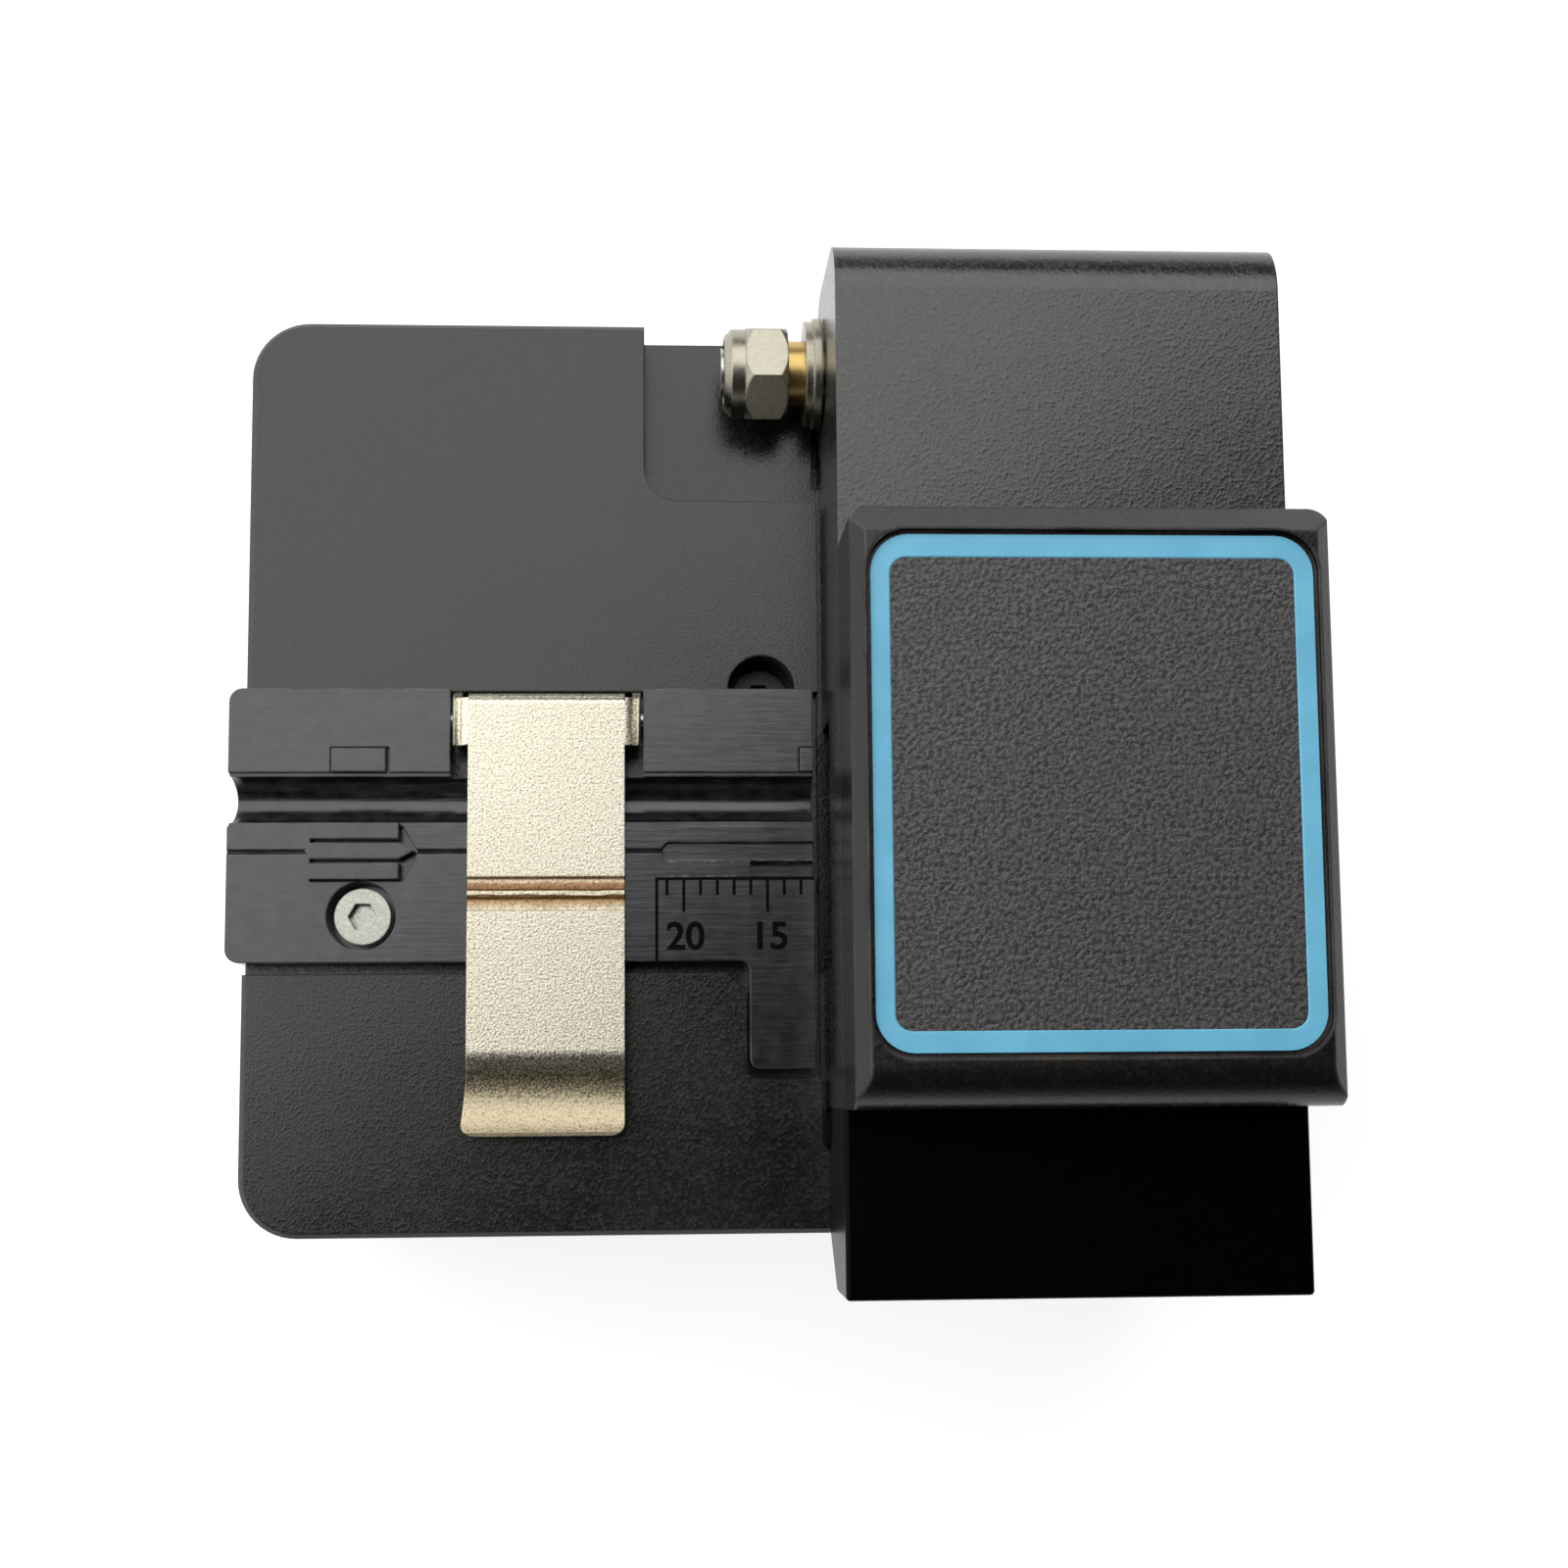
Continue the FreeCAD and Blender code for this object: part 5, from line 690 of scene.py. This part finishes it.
# %% [markdown]
# ## The room
# Black, shiny things show the room more than the lamp. This room is bright near the horizon and dark
# overhead, and brighter on the left, as with a window there. The camera sees plain white behind the tool.

# %% World
scene = bpy.context.scene
scene.view_settings.view_transform = "Standard"
world = bpy.data.worlds.new("studio_room")
scene.world = world
world.use_nodes = True
tree = world.node_tree
tree.nodes.clear()
path = add(tree, "ShaderNodeLightPath")
direction = add(tree, "ShaderNodeTexCoord").outputs["Generated"]
height = add(tree, "ShaderNodeSeparateXYZ", None, {0: direction}).outputs["Z"]
level = add(tree, "ShaderNodeMapRange", {"interpolation_type": "SMOOTHSTEP", "From Min": 0.02,
                                         "From Max": 0.5, "To Min": 1.0, "To Max": 0.05}, {0: height})
aside = add(tree, "ShaderNodeVectorMath", {"operation": "DOT_PRODUCT", 1: (-1, 0.25, 0)}, {0: direction})
window = add(tree, "ShaderNodeMapRange", {"interpolation_type": "SMOOTHSTEP", "To Min": 0.45, "To Max": 1.8},
             {0: aside.outputs["Value"]})
light = add(tree, "ShaderNodeMath", {"operation": "MULTIPLY"}, {0: level.outputs[0], 1: window.outputs[0]})
room = add(tree, "ShaderNodeBackground", {"Color": linear("#ffffff")}, {"Strength": light.outputs[0]})
backdrop = add(tree, "ShaderNodeBackground", {"Color": linear("#ffffff"), "Strength": 1.0})
shown = add(tree, "ShaderNodeMixShader", None, {0: path.outputs["Is Camera Ray"], 1: room.outputs[0],
                                                2: backdrop.outputs[0]})
add(tree, "ShaderNodeOutputWorld", None, {"Surface": shown.outputs[0]})
print("room nodes", len(tree.nodes))

# %% [markdown]
# ## The lamp
# One big soft lamp hangs behind and to the left. Its near edge ends almost over the tool, and that edge's
# reflection is what makes the black platform fade from grey at the back to black at the front right.

# %% Softbox
KEY_TURN = math.radians(36.9)
NEAR_EDGE = 0.036
HANGS_AT = 0.53
softbox = bpy.data.lights.new("overhead_softbox", "AREA")
softbox.shape = "RECTANGLE"
softbox.size = 1.2
softbox.size_y = 0.9
softbox.energy = 7.6
key = bpy.data.objects.new("overhead_softbox", softbox)
scene.collection.objects.link(key)
key.rotation_euler = (0, 0, KEY_TURN)
outward = Vector((-math.sin(KEY_TURN), math.cos(KEY_TURN), 0))
key.location = outward * (NEAR_EDGE + softbox.size_y / 2) + Vector((0, 0, HANGS_AT))
key.visible_camera = False
print("softbox at", [round(v, 3) for v in key.location])

# %% [markdown]
# ## The camera
# The camera looks down from nearly straight above, a little in front and to the left of the tool's middle,
# and is rolled by half a degree. Its place is counted from the front left corner of the CAD model's box.

# %% Camera
EYE_FROM_CORNER = Vector((24.37, 11.77, 173.6)) * MM
LOOK = Vector((0.0589, 0.1226, -0.9906)).normalized()
ROLL = math.radians(-0.48)
camera_data = bpy.data.cameras.new("camera")
camera = bpy.data.objects.new("camera", camera_data)
scene.collection.objects.link(camera)
scene.camera = camera
camera_data.sensor_width = 36.0
camera_data.lens = 56.25
camera_data.clip_start = 0.005
eye = Vector((cad_box[0][0], cad_box[0][1], 0)) + EYE_FROM_CORNER
right = LOOK.cross(Vector((0, 1, 0))).normalized()
up = right.cross(LOOK)
right, up = (right * math.cos(ROLL) + up * math.sin(ROLL), up * math.cos(ROLL) - right * math.sin(ROLL))
turn = Matrix((right, up, -LOOK)).transposed()
camera.matrix_world = Matrix.Translation(eye) @ turn.to_4x4()
print("camera at", [round(v, 4) for v in eye])
